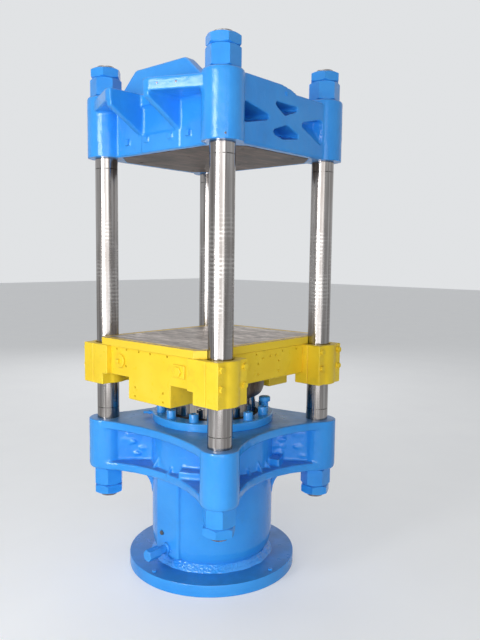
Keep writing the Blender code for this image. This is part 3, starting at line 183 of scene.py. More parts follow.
blueLook = {
    "colour": "#369ef5", "deep": "#3096ee", "light": "#40a5f8", "coat": 0.0, "shine": 0.4, "gloss": (0.13, 0.26),
    "cloudMm": 260, "blotchMm": 90, "dirtFrom": 0.58, "dirt": 0.22, "dirtColour": "#3f79ad",
    "dustAndShade": 0.62, "dustAndShadeMm": 130, "dustAndShadeColour": "#5b6b8c",
    "chipMm": 14, "chipFrom": 0.8, "chipColour": "#4a4038",
    "peelMm": 7, "peelDepthMm": 0.32, "skinMm": 16, "skinDepthMm": 1.0, "runMm": 34, "runDepthMm": 1.2,
}
blueSmoothLook = dict(blueLook, skinDepthMm=0.3, runDepthMm=0.4, cloudMm=120, blotchMm=40, dustAndShade=0.3)
# the flange plate's upper faces take a dark blue dust colour, which paints shade onto its top
blueBaseLook = dict(blueLook, dustAndShade=0.55, dustAndShadeColour="#234a73", skinDepthMm=0.4, runDepthMm=0.3)
blueWeldLook = dict(blueLook, skinMm=12, skinDepthMm=2.0, gloss=(0.1, 0.2), dustAndShade=0.0, coat=0.2, shine=0.5)
yellowLook = {
    "colour": "#fad938", "deep": "#f6d02f", "light": "#fcdf48", "coat": 0.0, "shine": 0.25, "gloss": (0.24, 0.42),
    "cloudMm": 220, "blotchMm": 60, "dirtFrom": 0.57, "dirt": 0.3, "dirtColour": "#a58a2c",
    "dustAndShade": 0.5, "dustAndShadeMm": 60, "dustAndShadeColour": "#a08245",
    "chipMm": 11, "chipFrom": 0.77, "chipColour": "#5a4630",
    "peelMm": 6, "peelDepthMm": 0.1, "skinMm": 30, "skinDepthMm": 0.3, "runMm": 40, "runDepthMm": 0.3,
}


def groundSteel(name, look):
    # Hardened bar, cylindrically ground and honed: long wipe marks, toned to paint vertical reflection streaks as
    # well, chatter rings at mid height, painted pale as the honed band's sheen as well, two scribed rings
    material, tree, shader = startMaterial(name, Metallic=1.0)
    place = addNode(tree, "TexCoord").outputs["Object"]
    height = along(tree, place, "Z")
    wipesAndStreaks = grain(tree, place, look["wipeAndStreakMm"], 4.0, (1.0, 1.0, 0.012), Roughness=0.7)
    rings = grain(tree, place, look["ringMm"], 5.0, (0.04, 0.04, 1.0), Roughness=0.65)
    # the wipe marks' lighter and darker bands also paint vertical reflection streaks
    tone = addNode(tree, "ValToRGB", {"Fac": wipesAndStreaks},
                   stops=[(0.36, look["deep"]), (0.5, look["colour"]), (0.64, look["light"])]).outputs["Color"]
    film = span(tree, grain(tree, place, look["filmMm"], 5.0, (1.0, 1.0, 0.3)), 0.5, 0.75, 0.0, look["film"])
    tone = mixColour(tree, film, tone, linear(look["filmColour"]))
    # the chatter fades out above and below the stretch that the guides wear
    low, high = look["chatter"]
    above = span(tree, height, low - 0.1, low + 0.06)
    below = span(tree, height, high + 0.16, high - 0.06)
    worn = combined(tree, "MULTIPLY", above, below)
    wave = addNode(tree, "TexWave", {"Vector": place, "Scale": look["chatterScale"], "Distortion": 2.2,
                                     "Detail": 3.0, "Detail Scale": 2.0}, bands_direction="Z").outputs["Fac"]
    patch = span(tree, grain(tree, place, 60, 4.0, (1.0, 1.0, 0.5)), 0.42, 0.6)
    chatter = combined(tree, "MULTIPLY", combined(tree, "MULTIPLY", worn, wave), patch)
    # the chatter's pale colour is partly painted sheen of the honed band
    tone = mixColour(tree, span(tree, chatter, 0.2, 0.8, 0.0, look["chatterAndSheenTone"]), tone,
                     linear(look["chatterAndSheenColour"]))
    for mark in look["marks"]:
        line = combined(tree, "COMPARE", height, mark, look["markHalfWidth"])
        line = combined(tree, "MULTIPLY", line, span(tree, wipesAndStreaks, 0.4, 0.55))
        tone = mixColour(tree, line, tone, linear(look["markColour"]))
    tree.links.new(tone, shader.inputs["Base Color"])
    shine = span(tree, rings, 0.3, 0.7, *look["gloss"])
    tree.links.new(combined(tree, "MULTIPLY_ADD", worn, look["wornGloss"], shine), shader.inputs["Roughness"])
    bumps(tree, shader, [(chatter, look["chatterDepthMm"]), (rings, look["ringDepthMm"]),
                         (wipesAndStreaks, look["wipeDepthMm"])])
    return material


columnLook = {
    "colour": "#979391", "deep": "#7a7572", "light": "#b0adab", "gloss": (0.10, 0.18), "wornGloss": 0.12,
    "wipeAndStreakMm": 14, "wipeDepthMm": 0.15, "ringMm": 7, "ringDepthMm": 0.02, "filmMm": 90, "film": 0.35,
    "filmColour": "#6b6057", "chatter": (1.22, 1.66), "chatterScale": 17.0, "chatterAndSheenTone": 0.42,
    "chatterAndSheenColour": "#c4c1be", "chatterDepthMm": 0.12,
    "marks": (0.793, 1.970), "markHalfWidth": 0.0018, "markColour": "#2b2826",
}
ramLook = dict(columnLook, colour="#8b8783", deep="#6b6662", light="#a8a5a2", chatterAndSheenTone=0.0, chatterDepthMm=0.0,
               marks=())


def workedPlate(name, look):
    # Planed mild steel plate with a dried film of oil and rust, streaked the way it is wiped.
    # A rim, where given, is a band of old yellow paint, worn through to brown, inside the plate's edge.
    rim = look.get("rim")
    material, tree, shader = startMaterial(name, Metallic=look["metal"])
    place = addNode(tree, "TexCoord").outputs["Object"]
    streaks = grain(tree, place, look["streakMm"], 9.0, look["wipe"], Roughness=0.68, Distortion=0.6)
    body = addNode(tree, "ValToRGB", {"Fac": streaks}, stops=look["tones"]).outputs["Color"]
    stain = grain(tree, place, look["stainMm"], 6.0, Roughness=0.6)
    body = mixColour(tree, span(tree, stain, 0.46, 0.66, 0.0, look["stain"]), body, linear(look["stainColour"]))
    scratch = grain(tree, place, 5, 3.0, look["scratch"], Roughness=0.7)
    body = mixColour(tree, span(tree, scratch, 0.6, 0.72, 0.0, 0.5), body, linear(look["scratchColour"]))
    if rim:
        parts = addNode(tree, "SeparateXYZ", {"Vector": place})
        gaps = []
        for axis, half in (("X", rim["halfX"]), ("Y", rim["halfY"])):
            gaps.append(combined(tree, "SUBTRACT", half, combined(tree, "ABSOLUTE", parts.outputs[axis])))
        inset = combined(tree, "MINIMUM", *gaps)
        ragged = combined(tree, "MULTIPLY_ADD", grain(tree, place, 16, 4.0), rim["ragged"], inset)
        paint = addNode(tree, "ValToRGB", {"Fac": grain(tree, place, 22, 7.0, Roughness=0.65)},
                        stops=[(0.38, rim["paint"]), (0.5, rim["worn"]), (0.64, rim["brown"])]).outputs["Color"]
        inside = span(tree, ragged, rim["width"], rim["width"] + rim["blur"])
        body = mixColour(tree, inside, paint, body)
        lineEnd = rim["width"] + rim["line"]
        line = combined(tree, "MULTIPLY", span(tree, ragged, lineEnd, lineEnd + rim["blur"], 1.0, 0.0), inside)
        body = mixColour(tree, line, body, linear(rim["lineColour"]))
        # the plate's edges are painted like the platen
        upward = span(tree, along(tree, addNode(tree, "NewGeometry").outputs["Normal"], "Z"), 0.5, 0.9)
        body = mixColour(tree, upward, linear(rim["side"]), body)
        bare = combined(tree, "MULTIPLY", inside, upward)
        tree.links.new(combined(tree, "MULTIPLY", bare, look["metal"]), shader.inputs["Metallic"])
    tree.links.new(body, shader.inputs["Base Color"])
    tree.links.new(span(tree, streaks, 0.3, 0.7, *look["gloss"]), shader.inputs["Roughness"])
    bumps(tree, shader, [(streaks, look["depthMm"]), (scratch, 0.03)])
    return material


# the head's underside plate: oily planed steel, its tones and stain darkened as painted shade under the head
headFaceShadedLook = {
    "metal": 0.5, "wipe": (1.0, 0.2, 1.0), "streakMm": 34, "stainMm": 150, "stain": 0.75, "stainColour": "#2b2421",
    "tones": [(0.32, "#322a26"), (0.45, "#544741"), (0.58, "#786961"), (0.74, "#a0918a")], "gloss": (0.42, 0.6),
    "scratch": (0.15, 1.0, 1.0), "scratchColour": "#94867c", "depthMm": 0.15,
}
platenTopLook = {
    "metal": 0.55, "wipe": (0.25, 1.0, 1.0), "streakMm": 30, "stainMm": 190, "stain": 0.5, "stainColour": "#6a5b50",
    "tones": [(0.37, "#64574f"), (0.46, "#a0938a"), (0.54, "#c4b8af"), (0.64, "#e6ddd6")], "gloss": (0.34, 0.56),
    "scratch": (0.1, 1.0, 1.0), "scratchColour": "#d0c8c0", "depthMm": 0.12,
    "rim": {"halfX": 0.360, "halfY": 0.450, "width": 0.034, "line": 0.007, "ragged": 0.010, "blur": 0.002,
            "paint": "#ecc848", "worn": "#cfa94e", "brown": "#8f7a52", "lineColour": "#f0cd3a", "side": "#f7d633"},
}
brownIronLook = dict(headFaceShadedLook, wipe=(1.0, 1.0, 0.3), streakMm=30, metal=0.7,
                     tones=[(0.3, "#2a2420"), (0.5, "#5a4e45"), (0.7, "#8d8176")], gloss=(0.3, 0.5), depthMm=0.3)


def plainMetal(name, look):
    # turned bronze, moulded rubber or blackened screw steel, seen in slits and sockets
    material, tree, shader = startMaterial(name, Metallic=look["metal"])
    place = addNode(tree, "TexCoord").outputs["Object"]
    fine = grain(tree, place, look["grainMm"], 4.0)
    body = mixColour(tree, span(tree, fine, 0.3, 0.7, 0.1, 0.5), linear(look["colour"]), linear(look["dark"]))
    tree.links.new(body, shader.inputs["Base Color"])
    tree.links.new(span(tree, fine, 0.3, 0.7, *look["gloss"]), shader.inputs["Roughness"])
    bumps(tree, shader, [(fine, 0.04)])
    return material


bronzeLook = {"colour": "#a67a3c", "dark": "#3a2c18", "metal": 1.0, "grainMm": 6, "gloss": (0.25, 0.4)}
rubberLook = {"colour": "#242321", "dark": "#121110", "metal": 0.0, "grainMm": 3, "gloss": (0.6, 0.8)}
screwLook = {"colour": "#7b7d80", "dark": "#26262a", "metal": 0.9, "grainMm": 4, "gloss": (0.25, 0.45)}

blueCasting = enamel("blue_enamel_on_casting", blueLook)
blueFitting = enamel("blue_enamel_on_machined_steel", blueSmoothLook)
blueBase = enamel("blue_enamel_on_flange_plate", blueBaseLook)
blueWeld = enamel("blue_enamel_on_weld", blueWeldLook)
yellowPlate = enamel("yellow_enamel_on_plate", yellowLook)
columnSteel = groundSteel("ground_column_steel", columnLook)
ramSteel = groundSteel("ground_ram_steel", ramLook)
headFaceShadedSteel = workedPlate("oily_planed_steel_painted_dark", headFaceShadedLook)
platenTopSteel = workedPlate("wiped_planed_steel", platenTopLook)
collarIron = workedPlate("oily_brown_iron", brownIronLook)
bushBronze = plainMetal("turned_bronze", bronzeLook)
packingRubber = plainMetal("moulded_nitrile_rubber", rubberLook)
plugSteel = plainMetal("blackened_plug_steel", screwLook)
print("materials made")


def keep(obj, body, material, slot, *replaced):
    # gives a finished piece its material, its body and the solids that it stands for
    obj.data.materials.clear()
    obj.data.materials.append(material)
    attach(obj, body)
    if replaced:
        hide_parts(*replaced)
    return obj


def pieceFrom(name, bm):
    # an object of its own from a finished bmesh
    mesh = bpy.data.meshes.new(name)
    bm.to_mesh(mesh)
    bm.free()
    obj = bpy.data.objects.new(name, mesh)
    bpy.context.scene.collection.objects.link(obj)
    return obj


def applied(obj):
    # the mesh as its modifiers leave it
    graph = bpy.context.evaluated_depsgraph_get()
    mesh = bpy.data.meshes.new_from_object(obj.evaluated_get(graph))
    old = obj.data
    obj.modifiers.clear()
    obj.data = mesh
    bpy.data.meshes.remove(old)
    return obj


def baked(obj, crease=34):
    # applies the modifiers and shades smooth up to the crease angle
    applied(obj)
    obj.data.shade_smooth()
    obj.data.set_sharp_from_angle(angle=math.radians(crease))
    return obj


def rounded(obj, width, segments=2, angle=30):
    # worn edges; the normals lean on the large faces, so that flat faces stay flat
    obj.data.shade_smooth()
    bevel = obj.modifiers.new("edges", "BEVEL")
    bevel.width = width
    bevel.segments = segments
    bevel.limit_method = "ANGLE"
    bevel.angle_limit = math.radians(angle)
    obj.modifiers.new("normals", "WEIGHTED_NORMAL").weight = 100
    return applied(obj)


def copyOfNode(name, nodeName):
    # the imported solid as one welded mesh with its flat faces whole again
    bm = bmesh.new()
    bm.from_mesh(nodes[nodeName].data)
    bmesh.ops.remove_doubles(bm, verts=bm.verts, dist=2e-5)
    bmesh.ops.dissolve_limit(bm, angle_limit=math.radians(0.5), verts=bm.verts, edges=bm.edges)
    return pieceFrom(name, bm)


def skin(bm, rows, closed):
    # joins rows of points into a surface; a row of one point closes an end
    count = max(len(row) for row in rows)
    pairs = list(zip(rows, rows[1:])) + ([(rows[-1], rows[0])] if closed else [])
    for low, high in pairs:
        for i in range(count):
            j = (i + 1) % count
            loop = [low[i % len(low)], low[j % len(low)], high[j % len(high)], high[i % len(high)]]
            loop = list(dict.fromkeys(loop))
            if len(loop) > 2:
                bm.faces.new(loop)
    bmesh.ops.recalc_face_normals(bm, faces=bm.faces)


def turned(name, profile, segments=64, matrix=Matrix()):
    # spins an outline of (radius, height) points: from axis to axis, or a closed ring
    bm = bmesh.new()
    rows = []
    for radius, height in profile:
        turns = [2 * math.pi * i / segments for i in range(segments)] if radius > 1e-6 else [0.0]
        rows.append([bm.verts.new(matrix @ Vector((radius * math.cos(t), radius * math.sin(t), height)))
                     for t in turns])
    skin(bm, rows, closed=profile[0][0] > 1e-6)
    return pieceFrom(name, bm)


def hexagon(name, across, height, matrix=Matrix(), bore=0.0, slope=0.55):
    # a nut or bolt head with the round chamfer of a lathe at both ends
    samples = 72
    apothem = across / 2
    face = apothem * 0.96
    turns = [2 * math.pi * i / samples for i in range(samples)]
    outer = [apothem / math.cos((t + math.pi / 6) % (math.pi / 3) - math.pi / 6) for t in turns]
    drop = [slope * (r - face) for r in outer]
    bm = bmesh.new()

    def ring(radii, heights):
        return [bm.verts.new(matrix @ Vector((r * math.cos(t), r * math.sin(t), h)))
                for r, h, t in zip(radii, heights, turns)]

    def flat(radius, level):
        return ring([radius] * samples, [level] * samples)

    rows = [flat(face, 0.0), ring(outer, drop), ring(outer, [height - d for d in drop]), flat(face, height)]
    if bore:
        lip = 0.03 * across
        rows = [flat(bore, lip), flat(bore + lip, 0.0), *rows, flat(bore + lip, height), flat(bore, height - lip)]
    else:
        rows = [[bm.verts.new(matrix @ Vector((0, 0, 0)))], *rows, [bm.verts.new(matrix @ Vector((0, 0, height)))]]
    skin(bm, rows, closed=bool(bore))
    return baked(pieceFrom(name, bm), crease=20)


def brick(name, low, high):
    # a box between two opposite corners
    bm = bmesh.new()
    bmesh.ops.create_cube(bm, size=1.0)
    for vertex in bm.verts:
        vertex.co = Vector(low[i] + (vertex.co[i] + 0.5) * (high[i] - low[i]) for i in range(3))
    return pieceFrom(name, bm)


def hull(name, points):
    # the tightest closed form round some points
    bm = bmesh.new()
    for point in points:
        bm.verts.new(point)
    bmesh.ops.convex_hull(bm, input=bm.verts)
    return pieceFrom(name, bm)


def pebble(name, place, radii, turn):
    # a drop of weld or paint
    bm = bmesh.new()
    bmesh.ops.create_icosphere(bm, subdivisions=3, radius=1.0)
    bm.transform(Matrix.Translation(place) @ Matrix.Rotation(turn, 4, "Z") @ Matrix.Diagonal((*radii, 1.0)))
    return pieceFrom(name, bm)


def merged(name, parts):
    # several closed pieces as one object
    bm = bmesh.new()
    for part in parts:
        bm.from_mesh(part.data)
        mesh = part.data
        bpy.data.objects.remove(part)
        bpy.data.meshes.remove(mesh)
    return pieceFrom(name, bm)


def without(obj, near):
    # takes away the points of a solid's own screw heads, to make room for finer ones
    bm = bmesh.new()
    bm.from_mesh(obj.data)
    bmesh.ops.delete(bm, geom=[v for v in bm.verts if near(v.co)], context="VERTS")
    bm.to_mesh(obj.data)
    bm.free()
    return obj


def pointing(place, direction, turn=0.0):
    # a frame at a place whose Z runs along a direction
    aim = Vector(direction).to_track_quat("Z", "Y").to_matrix().to_4x4()
    return Matrix.Translation(place) @ aim @ Matrix.Rotation(turn, 4, "Z")


def castFrom(name, nodeName, look, lumps, barrels):
    # the solid with the soft edges, fillets and wavy skin of a sand casting, its barrels made truly round
    obj = merged(name, [copyOfNode(name + "_core", nodeName), *lumps])
    remesh = obj.modifiers.new("grid", "REMESH")
    remesh.mode = "VOXEL"
    remesh.voxel_size = look["voxel"]
    relax = obj.modifiers.new("relax", "SMOOTH")
    relax.factor = 0.5
    relax.iterations = look["relax"]
    baked(obj)
    mesh = obj.data
    count = len(mesh.vertices)
    points = np.empty(count * 3, np.float32)
    mesh.vertices.foreach_get("co", points)
    normals = np.empty(count * 3, np.float32)
    mesh.vertices.foreach_get("normal", normals)
    points, normals = points.reshape(-1, 3).astype(float), normals.reshape(-1, 3).astype(float)
    for barrel in barrels:
        offset = points[:, :2] - barrel["centre"]
        radius = np.hypot(offset[:, 0], offset[:, 1])
        step = 2 * np.pi / barrel["flats"]
        turn = np.mod(np.arctan2(offset[:, 1], offset[:, 0]), step) - step / 2
        swell = np.cos(turn) / math.cos(step / 2)
        low, high = barrel["radii"]
        bottom, top = barrel["heights"]
        near = (radius > low) & (radius < high) & (points[:, 2] > bottom) & (points[:, 2] < top)
        scale = np.where(near, swell, 1.0)
        points[:, :2] = barrel["centre"] + offset * scale[:, None]
    depth = np.empty(count)
    for i, point in enumerate(points):
        wave = noise.fractal(Vector(point) / look["waveSize"], 1.0, 2.0, 3)
        depth[i] = -look["waveDepth"] * (0.5 - 0.5 * max(-1.0, min(1.0, wave)))
    points += normals * depth[:, None]
    mesh.vertices.foreach_set("co", points.astype(np.float32).ravel())
    mesh.update()
    thin = obj.modifiers.new("thin", "DECIMATE")
    thin.ratio = min(1.0, look["faces"] / sum(len(p.vertices) - 2 for p in mesh.polygons))
    return baked(obj, crease=60)


castLook = {"voxel": 0.0052, "relax": 2, "waveSize": 0.035, "waveDepth": 0.0011, "faces": 170000}
lowerCast = {
    "floor": 0.5275, "sunk": 0.006, "bossOut": 0.010,
    "fins": {-90: (-41, -15.8, 4.3, 16.5), 0: (-13.2, -0.8, 12.3), 90: (-30, -8, 14), 180: (-20, 2, 24)},
    "finHeight": 0.040, "finReach": 0.040, "finThickness": 0.011, "finTop": 0.006, "finRoot": 0.02,
    "wall": 0.303, "cornerWall": 0.345, "cornerFrom": 36,
    "stepTurns": (18, 27, 37), "stepRadii": (0.29, 0.362), "stepHeight": 0.036,
    "ribHalfWaist": 0.044, "ribHalfEnd": 0.031, "ribMiddle": 0.375, "ribEnd": 0.531, "lumps": 9,
    "lumpReach": (0.325, 0.455), "lumpHeights": (0.54, 0.685), "lumpLength": (0.02, 0.045),
    "lumpDepth": (0.003, 0.006), "lumpHeight": (0.008, 0.02), "lumpTurn": 0.3,
}


def bayLumps():
    # thin flash fins, a step at the foot of each bay and weld lumps along the ribs, left from casting and repair
    parts = []
    floor, reach = lowerCast["floor"], lowerCast["finReach"]
    low = floor - lowerCast["sunk"]
    half = lowerCast["finThickness"] / 2
    for bay, fins in lowerCast["fins"].items():
        for number, fin in enumerate(fins):
            wall = lowerCast["cornerWall" if abs(fin) > lowerCast["cornerFrom"] else "wall"]
            high = floor + lowerCast["finHeight"] * (0.75 + 0.4 * (number % 2))
            root, crest = wall - lowerCast["finRoot"], wall + lowerCast["finTop"]
            spin = Matrix.Rotation(math.radians(bay + fin), 4, "Z")
            wedge = [(x, y, z) for x, z in ((root, low), (root, high), (crest, high), (wall + reach, low))
                     for y in (-half, half)]
            parts.append(hull(f"fin_{bay}_{number}", [spin @ Vector(p) for p in wedge]))
        step = []
        for turn in lowerCast["stepTurns"]:
            angle = math.radians(bay + turn)
            step += [(r * math.cos(angle), r * math.sin(angle), z) for r in lowerCast["stepRadii"]
                     for z in (low, floor + lowerCast["stepHeight"])]
        parts.append(hull(f"step_{bay}", step))
    for name, (sideX, sideY) in corners.items():
        ribTurn = math.atan2(sideY * columnY, sideX * columnX)
        spin = Matrix.Rotation(ribTurn, 4, "Z")
        for side in (-1, 1):
            for number in range(lowerCast["lumps"]):
                out = chance.uniform(*lowerCast["lumpReach"])
                bend = (out - lowerCast["ribMiddle"]) / (lowerCast["ribEnd"] - lowerCast["ribMiddle"])
                across = lowerCast["ribHalfWaist"] + lowerCast["ribHalfEnd"] * bend * bend
                place = spin @ Vector((out, side * across, chance.uniform(*lowerCast["lumpHeights"])))
                radii = [chance.uniform(*lowerCast[size]) for size in ("lumpLength", "lumpDepth", "lumpHeight")]
                turn = ribTurn + chance.uniform(-lowerCast["lumpTurn"], lowerCast["lumpTurn"])
                parts.append(pebble(f"lump_{name}_{side}_{number}", place, radii, turn))
    return parts


outward = 1 + lowerCast["bossOut"] / math.hypot(columnX, columnY)
lowerBarrels = [{"centre": (0, 0), "flats": 32, "radii": (0.262, 0.3085), "heights": (0.05, 0.695)}]
headBarrels = []
for sideX, sideY in corners.values():
    lowerBarrels.append({"centre": (sideX * columnX * outward, sideY * columnY * outward), "flats": 20,
                         "radii": (0.07, 0.0885), "heights": (0.48, 0.74)})
    headBarrels.append({"centre": (sideX * columnX, sideY * columnY), "flats": 20, "radii": (0.078, 0.0925),
                        "heights": (2.0, 2.32)})
lowerCasting = castFrom("lower_casting", "cylinder_casting", castLook, bayLumps(), lowerBarrels)
keep(lowerCasting, pressFrame, blueCasting, "blue", "cylinder_casting")
headCasting = castFrom("head_casting", "top_head", dict(castLook, voxel=0.005, relax=1), [], headBarrels)
keep(headCasting, pressFrame, blueCasting, "blue", "top_head")
print("castings", len(lowerCasting.data.polygons), len(headCasting.data.polygons))

headDetail = {
    "lugX": (-0.218, -0.080, 0.080, 0.192), "lugZ": 2.079, "lugSize": 0.0246, "lugFront": -0.3754, "lugBack": -0.355,
    "bandHoles": ((0.1797, -0.5313, 2.2553), (0.2558, -0.4963, 2.2557)), "bandNormal": (0.417, -0.909, 0.0),
    "bossHole": (0.4594, -0.4173, 2.0405), "bossNormal": (0.771, -0.637, 0), "holeRadius": 0.0045,
    "wallNub": (0.442, -0.004, 2.273), "wallNubRadius": 0.009,
}
lugs = []
for number, x in enumerate(headDetail["lugX"]):
    half, z = headDetail["lugSize"] / 2, headDetail["lugZ"]
    lugs.append(rounded(brick(f"lug_{number}", (x - half, headDetail["lugFront"], z - half),
                              (x + half, headDetail["lugBack"], z + half)), 0.0016))
keep(baked(merged("head_lugs", lugs)), pressFrame, blueFitting, "blue")
# small blackened discs set at the small holes of the band and the front boss, standing in for the holes' dark shade
places = [(place, headDetail["bandNormal"]) for place in headDetail["bandHoles"]]
places.append((headDetail["bossHole"], headDetail["bossNormal"]))
profile = [(0, 0.0008), (0.003, 0.0008), (headDetail["holeRadius"], 0.0003), (0.005, -0.004), (0, -0.004)]
holes = [turned(f"hole_{i}", profile, 20, pointing(*spot)) for i, spot in enumerate(places)]
keep(baked(merged("head_hole_shade_discs", holes)), pressFrame, plugSteel, "blue")
profile = [(0, 0.006), (0.006, 0.0055), (headDetail["wallNubRadius"], 0.003), (0.010, -0.004), (0, -0.004)]
nub = turned("wall_nub", profile, 24, pointing(headDetail["wallNub"], (1, 0, 0)))
keep(baked(nub), pressFrame, blueFitting, "blue")
print("head details placed")

# plates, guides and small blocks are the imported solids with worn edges
guideBolt = {"earX": 0.072, "out": 0.0708, "low": 1.010, "high": 1.091, "across": 0.025, "height": 0.0125,
             "clear": 0.002, "room": 0.016}
padNut = {"place": (0.205, -0.4293, 1.052), "across": 0.040, "height": 0.013, "frontFrom": -0.4345, "turn": 30}


def overBolt(corner):
    # true for points of a guide cap's own bolt heads
    sideX, sideY = corners[corner]

    def near(point):
        proud = (point.x - sideX * columnX) * sideX > guideBolt["earX"] + guideBolt["clear"]
        beside = abs(abs(point.y - sideY * columnY) - guideBolt["out"])
        above = min(abs(point.z - guideBolt["low"]), abs(point.z - guideBolt["high"]))
        return proud and max(beside, above) < guideBolt["room"]
    return near


dressed = [
    ("head_face", "head_face_plate", pressFrame, headFaceShadedSteel, "bare_plate", 0.0015),
    ("platen_casting", "moving_platen", risingPlaten, yellowPlate, "yellow", 0.002),
    ("platen_top", "platen_top_plate", risingPlaten, platenTopSteel, "bare_plate", 0.002),
    ("left_front_pin", "left_pin", risingPlaten, yellowPlate, "yellow", 0.0012),
    ("drain_spout", "drain_nipple", pressFrame, blueFitting, "blue", 0.0008),
]
for name, nodeName, body, material, slot, edge in dressed:
    keep(rounded(copyOfNode(name, nodeName), edge), body, material, slot, nodeName)
pad = without(copyOfNode("right_front_pad", "right_pad"), lambda p: p.y < padNut["frontFrom"])
keep(rounded(pad, 0.0015), risingPlaten, yellowPlate, "yellow", "right_pad")
padPlace = pointing(padNut["place"], (0, -1, 0), math.radians(padNut["turn"]))
keep(hexagon("right_front_nut", padNut["across"], padNut["height"], padPlace), risingPlaten, yellowPlate, "yellow")
for corner, (sideX, sideY) in corners.items():
    keep(rounded(copyOfNode("guide_half_" + corner, "guide_block_" + corner), 0.002), risingPlaten, yellowPlate,
         "yellow", "guide_block_" + corner)
    strap = without(copyOfNode("guide_strap_" + corner, "guide_cap_" + corner), overBolt(corner))
    keep(rounded(strap, 0.002), risingPlaten, yellowPlate, "yellow", "guide_cap_" + corner)
    face = sideX * (columnX + guideBolt["earX"] - 0.0005)
    heads = [hexagon(f"head_{side}_{z}", guideBolt["across"], guideBolt["height"],
                     pointing((face, sideY * columnY + side * guideBolt["out"], z), (sideX, 0, 0),
                              chance.uniform(0, 1)))
             for side in (-1, 1) for z in (guideBolt["low"], guideBolt["high"])]
    keep(merged("guide_bolts_" + corner, heads), risingPlaten, yellowPlate, "yellow")
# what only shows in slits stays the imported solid, with a material of its own
carried = {"ram_guide_bush": bushBronze, "wiper_ring": packingRubber}
carried.update((f"ram_packing_{i}", packingRubber) for i in (1, 2, 3))
carried.update(("guide_bush_" + corner, bushBronze) for corner in corners)
for nodeName, material in carried.items():
    nodes[nodeName].data.materials.clear()
    nodes[nodeName].data.materials.append(material)
print("plates and small pieces dressed")

# nuts for an M90 thread, each turned by its own angle in degrees, as the photograph shows them
nut = {
    "across": 0.130, "bore": 0.0456,
    "lower_nut": {"front_right": -5, "front_left": -11, "rear_right": 3, "rear_left": 10},
    "lower_jam_nut": {"front_right": -27, "front_left": -10, "rear_right": 25, "rear_left": -20},
    "upper_nut": {"front_right": 4, "front_left": 18, "rear_right": 14, "rear_left": 20},
    "upper_jam_nut": {"front_right": 0, "front_left": -16, "rear_right": -24, "rear_left": 5},
}
for kind in ("lower_nut", "lower_jam_nut", "upper_nut", "upper_jam_nut"):
    for corner, (sideX, sideY) in corners.items():
        low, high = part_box(f"{kind}_{corner}")
        place = Matrix.Translation((sideX * columnX, sideY * columnY, low.z)) @ \
            Matrix.Rotation(math.radians(nut[kind][corner]), 4, "Z")
        pieceName = f"{kind.replace('nut', 'hexagon')}_{corner}"
        piece = hexagon(pieceName, nut["across"], high.z - low.z, place, nut["bore"])
        keep(piece, pressFrame, blueFitting, "blue", f"{kind}_{corner}")
print("nuts made")

column = {"radius": 0.0545, "shank": 0.045, "shoulders": (0.7383, 2.0197), "pitch": 0.004, "depth": 0.0022,
          "crest": (0.45, 0.6), "threadLow": 0.020, "threadHigh": 0.016, "runOut": 0.002, "end": 0.004}


def threaded(low, high):
    # the saw-toothed outline of the shank's thread between two heights
    crest, pitch = column["shank"], column["pitch"]
    root = crest - column["depth"]
    points = []
    for i in range(int((high - low) / pitch)):
        foot = low + i * pitch
        points += [(root, foot), *((crest, foot + pitch * share) for share in column["crest"])]
    return points + [(root, high)]


for corner, (sideX, sideY) in corners.items():
    low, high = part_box("column_" + corner)
    radius, shank, end = column["radius"], column["shank"], column["end"]
    bottom, top = column["shoulders"]
    lowEnd, highStart = low.z + column["threadLow"], high.z - column["threadHigh"]
    profile = [
        (0, low.z), (shank - end, low.z), *threaded(low.z + end, lowEnd),
        (shank, lowEnd + column["runOut"]), (shank, bottom), (radius, bottom),
        (radius, top), (shank, top), (shank, highStart - column["runOut"]),
        *threaded(highStart, high.z - end), (shank - end, high.z), (0, high.z),
    ]
    bar = turned("column_bar_" + corner, profile, 96, Matrix.Translation((sideX * columnX, sideY * columnY, 0)))
    keep(baked(bar), pressFrame, columnSteel, "ground_steel", "column_" + corner)
ramBar = {"radius": 0.215, "end": 0.006}
low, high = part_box("ram")
profile = [(0, low.z), (ramBar["radius"] - ramBar["end"], low.z), (ramBar["radius"], low.z + ramBar["end"]),
           (ramBar["radius"], high.z - ramBar["end"]), (ramBar["radius"] - ramBar["end"], high.z), (0, high.z)]
keep(baked(turned("ram_bar", profile, 128)), risingPlaten, ramSteel, "ground_steel", "ram")
print("columns and ram turned")

collar = {"inner": 0.2153, "radius": 0.258, "top": 0.9797, "knee": 0.052, "studCircle": 0.237, "studs": 8,
          "stud": 0.008, "across": 0.025, "nutHeight": 0.014, "nutBottom": 1.0985, "studTop": 1.1195}
bottom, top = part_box("ram_retaining_ring")[0].z, collar["top"]
foot, knee = collar["inner"] + 0.004, top - collar["knee"]
bend = [(foot + (collar["radius"] - foot) * math.cos(math.radians(t)) ** 0.8,
         knee - (knee - bottom) * math.sin(math.radians(t))) for t in range(0, 91, 9)]
ring = turned("collar_ring", [(collar["inner"], top), (collar["radius"], top), *bend, (collar["inner"], bottom)], 128)
parts = [baked(ring)]
for number in range(collar["studs"]):
    turn = 2 * math.pi * (number + 0.5) / collar["studs"]
    x, y = collar["studCircle"] * math.cos(turn), collar["studCircle"] * math.sin(turn)
    parts.append(turned(f"stud_{number}", [(0, top - 0.01), (collar["stud"], top - 0.01),
                                           (collar["stud"], collar["studTop"]), (0, collar["studTop"])], 20,
                        Matrix.Translation((x, y, 0))))
    parts.append(hexagon(f"stud_nut_{number}", collar["across"], collar["nutHeight"],
                         Matrix.Translation((x, y, collar["nutBottom"]))))
keep(baked(merged("ram_collar", parts)), risingPlaten, collarIron, "brown_iron", "ram_retaining_ring")
print("collar made")

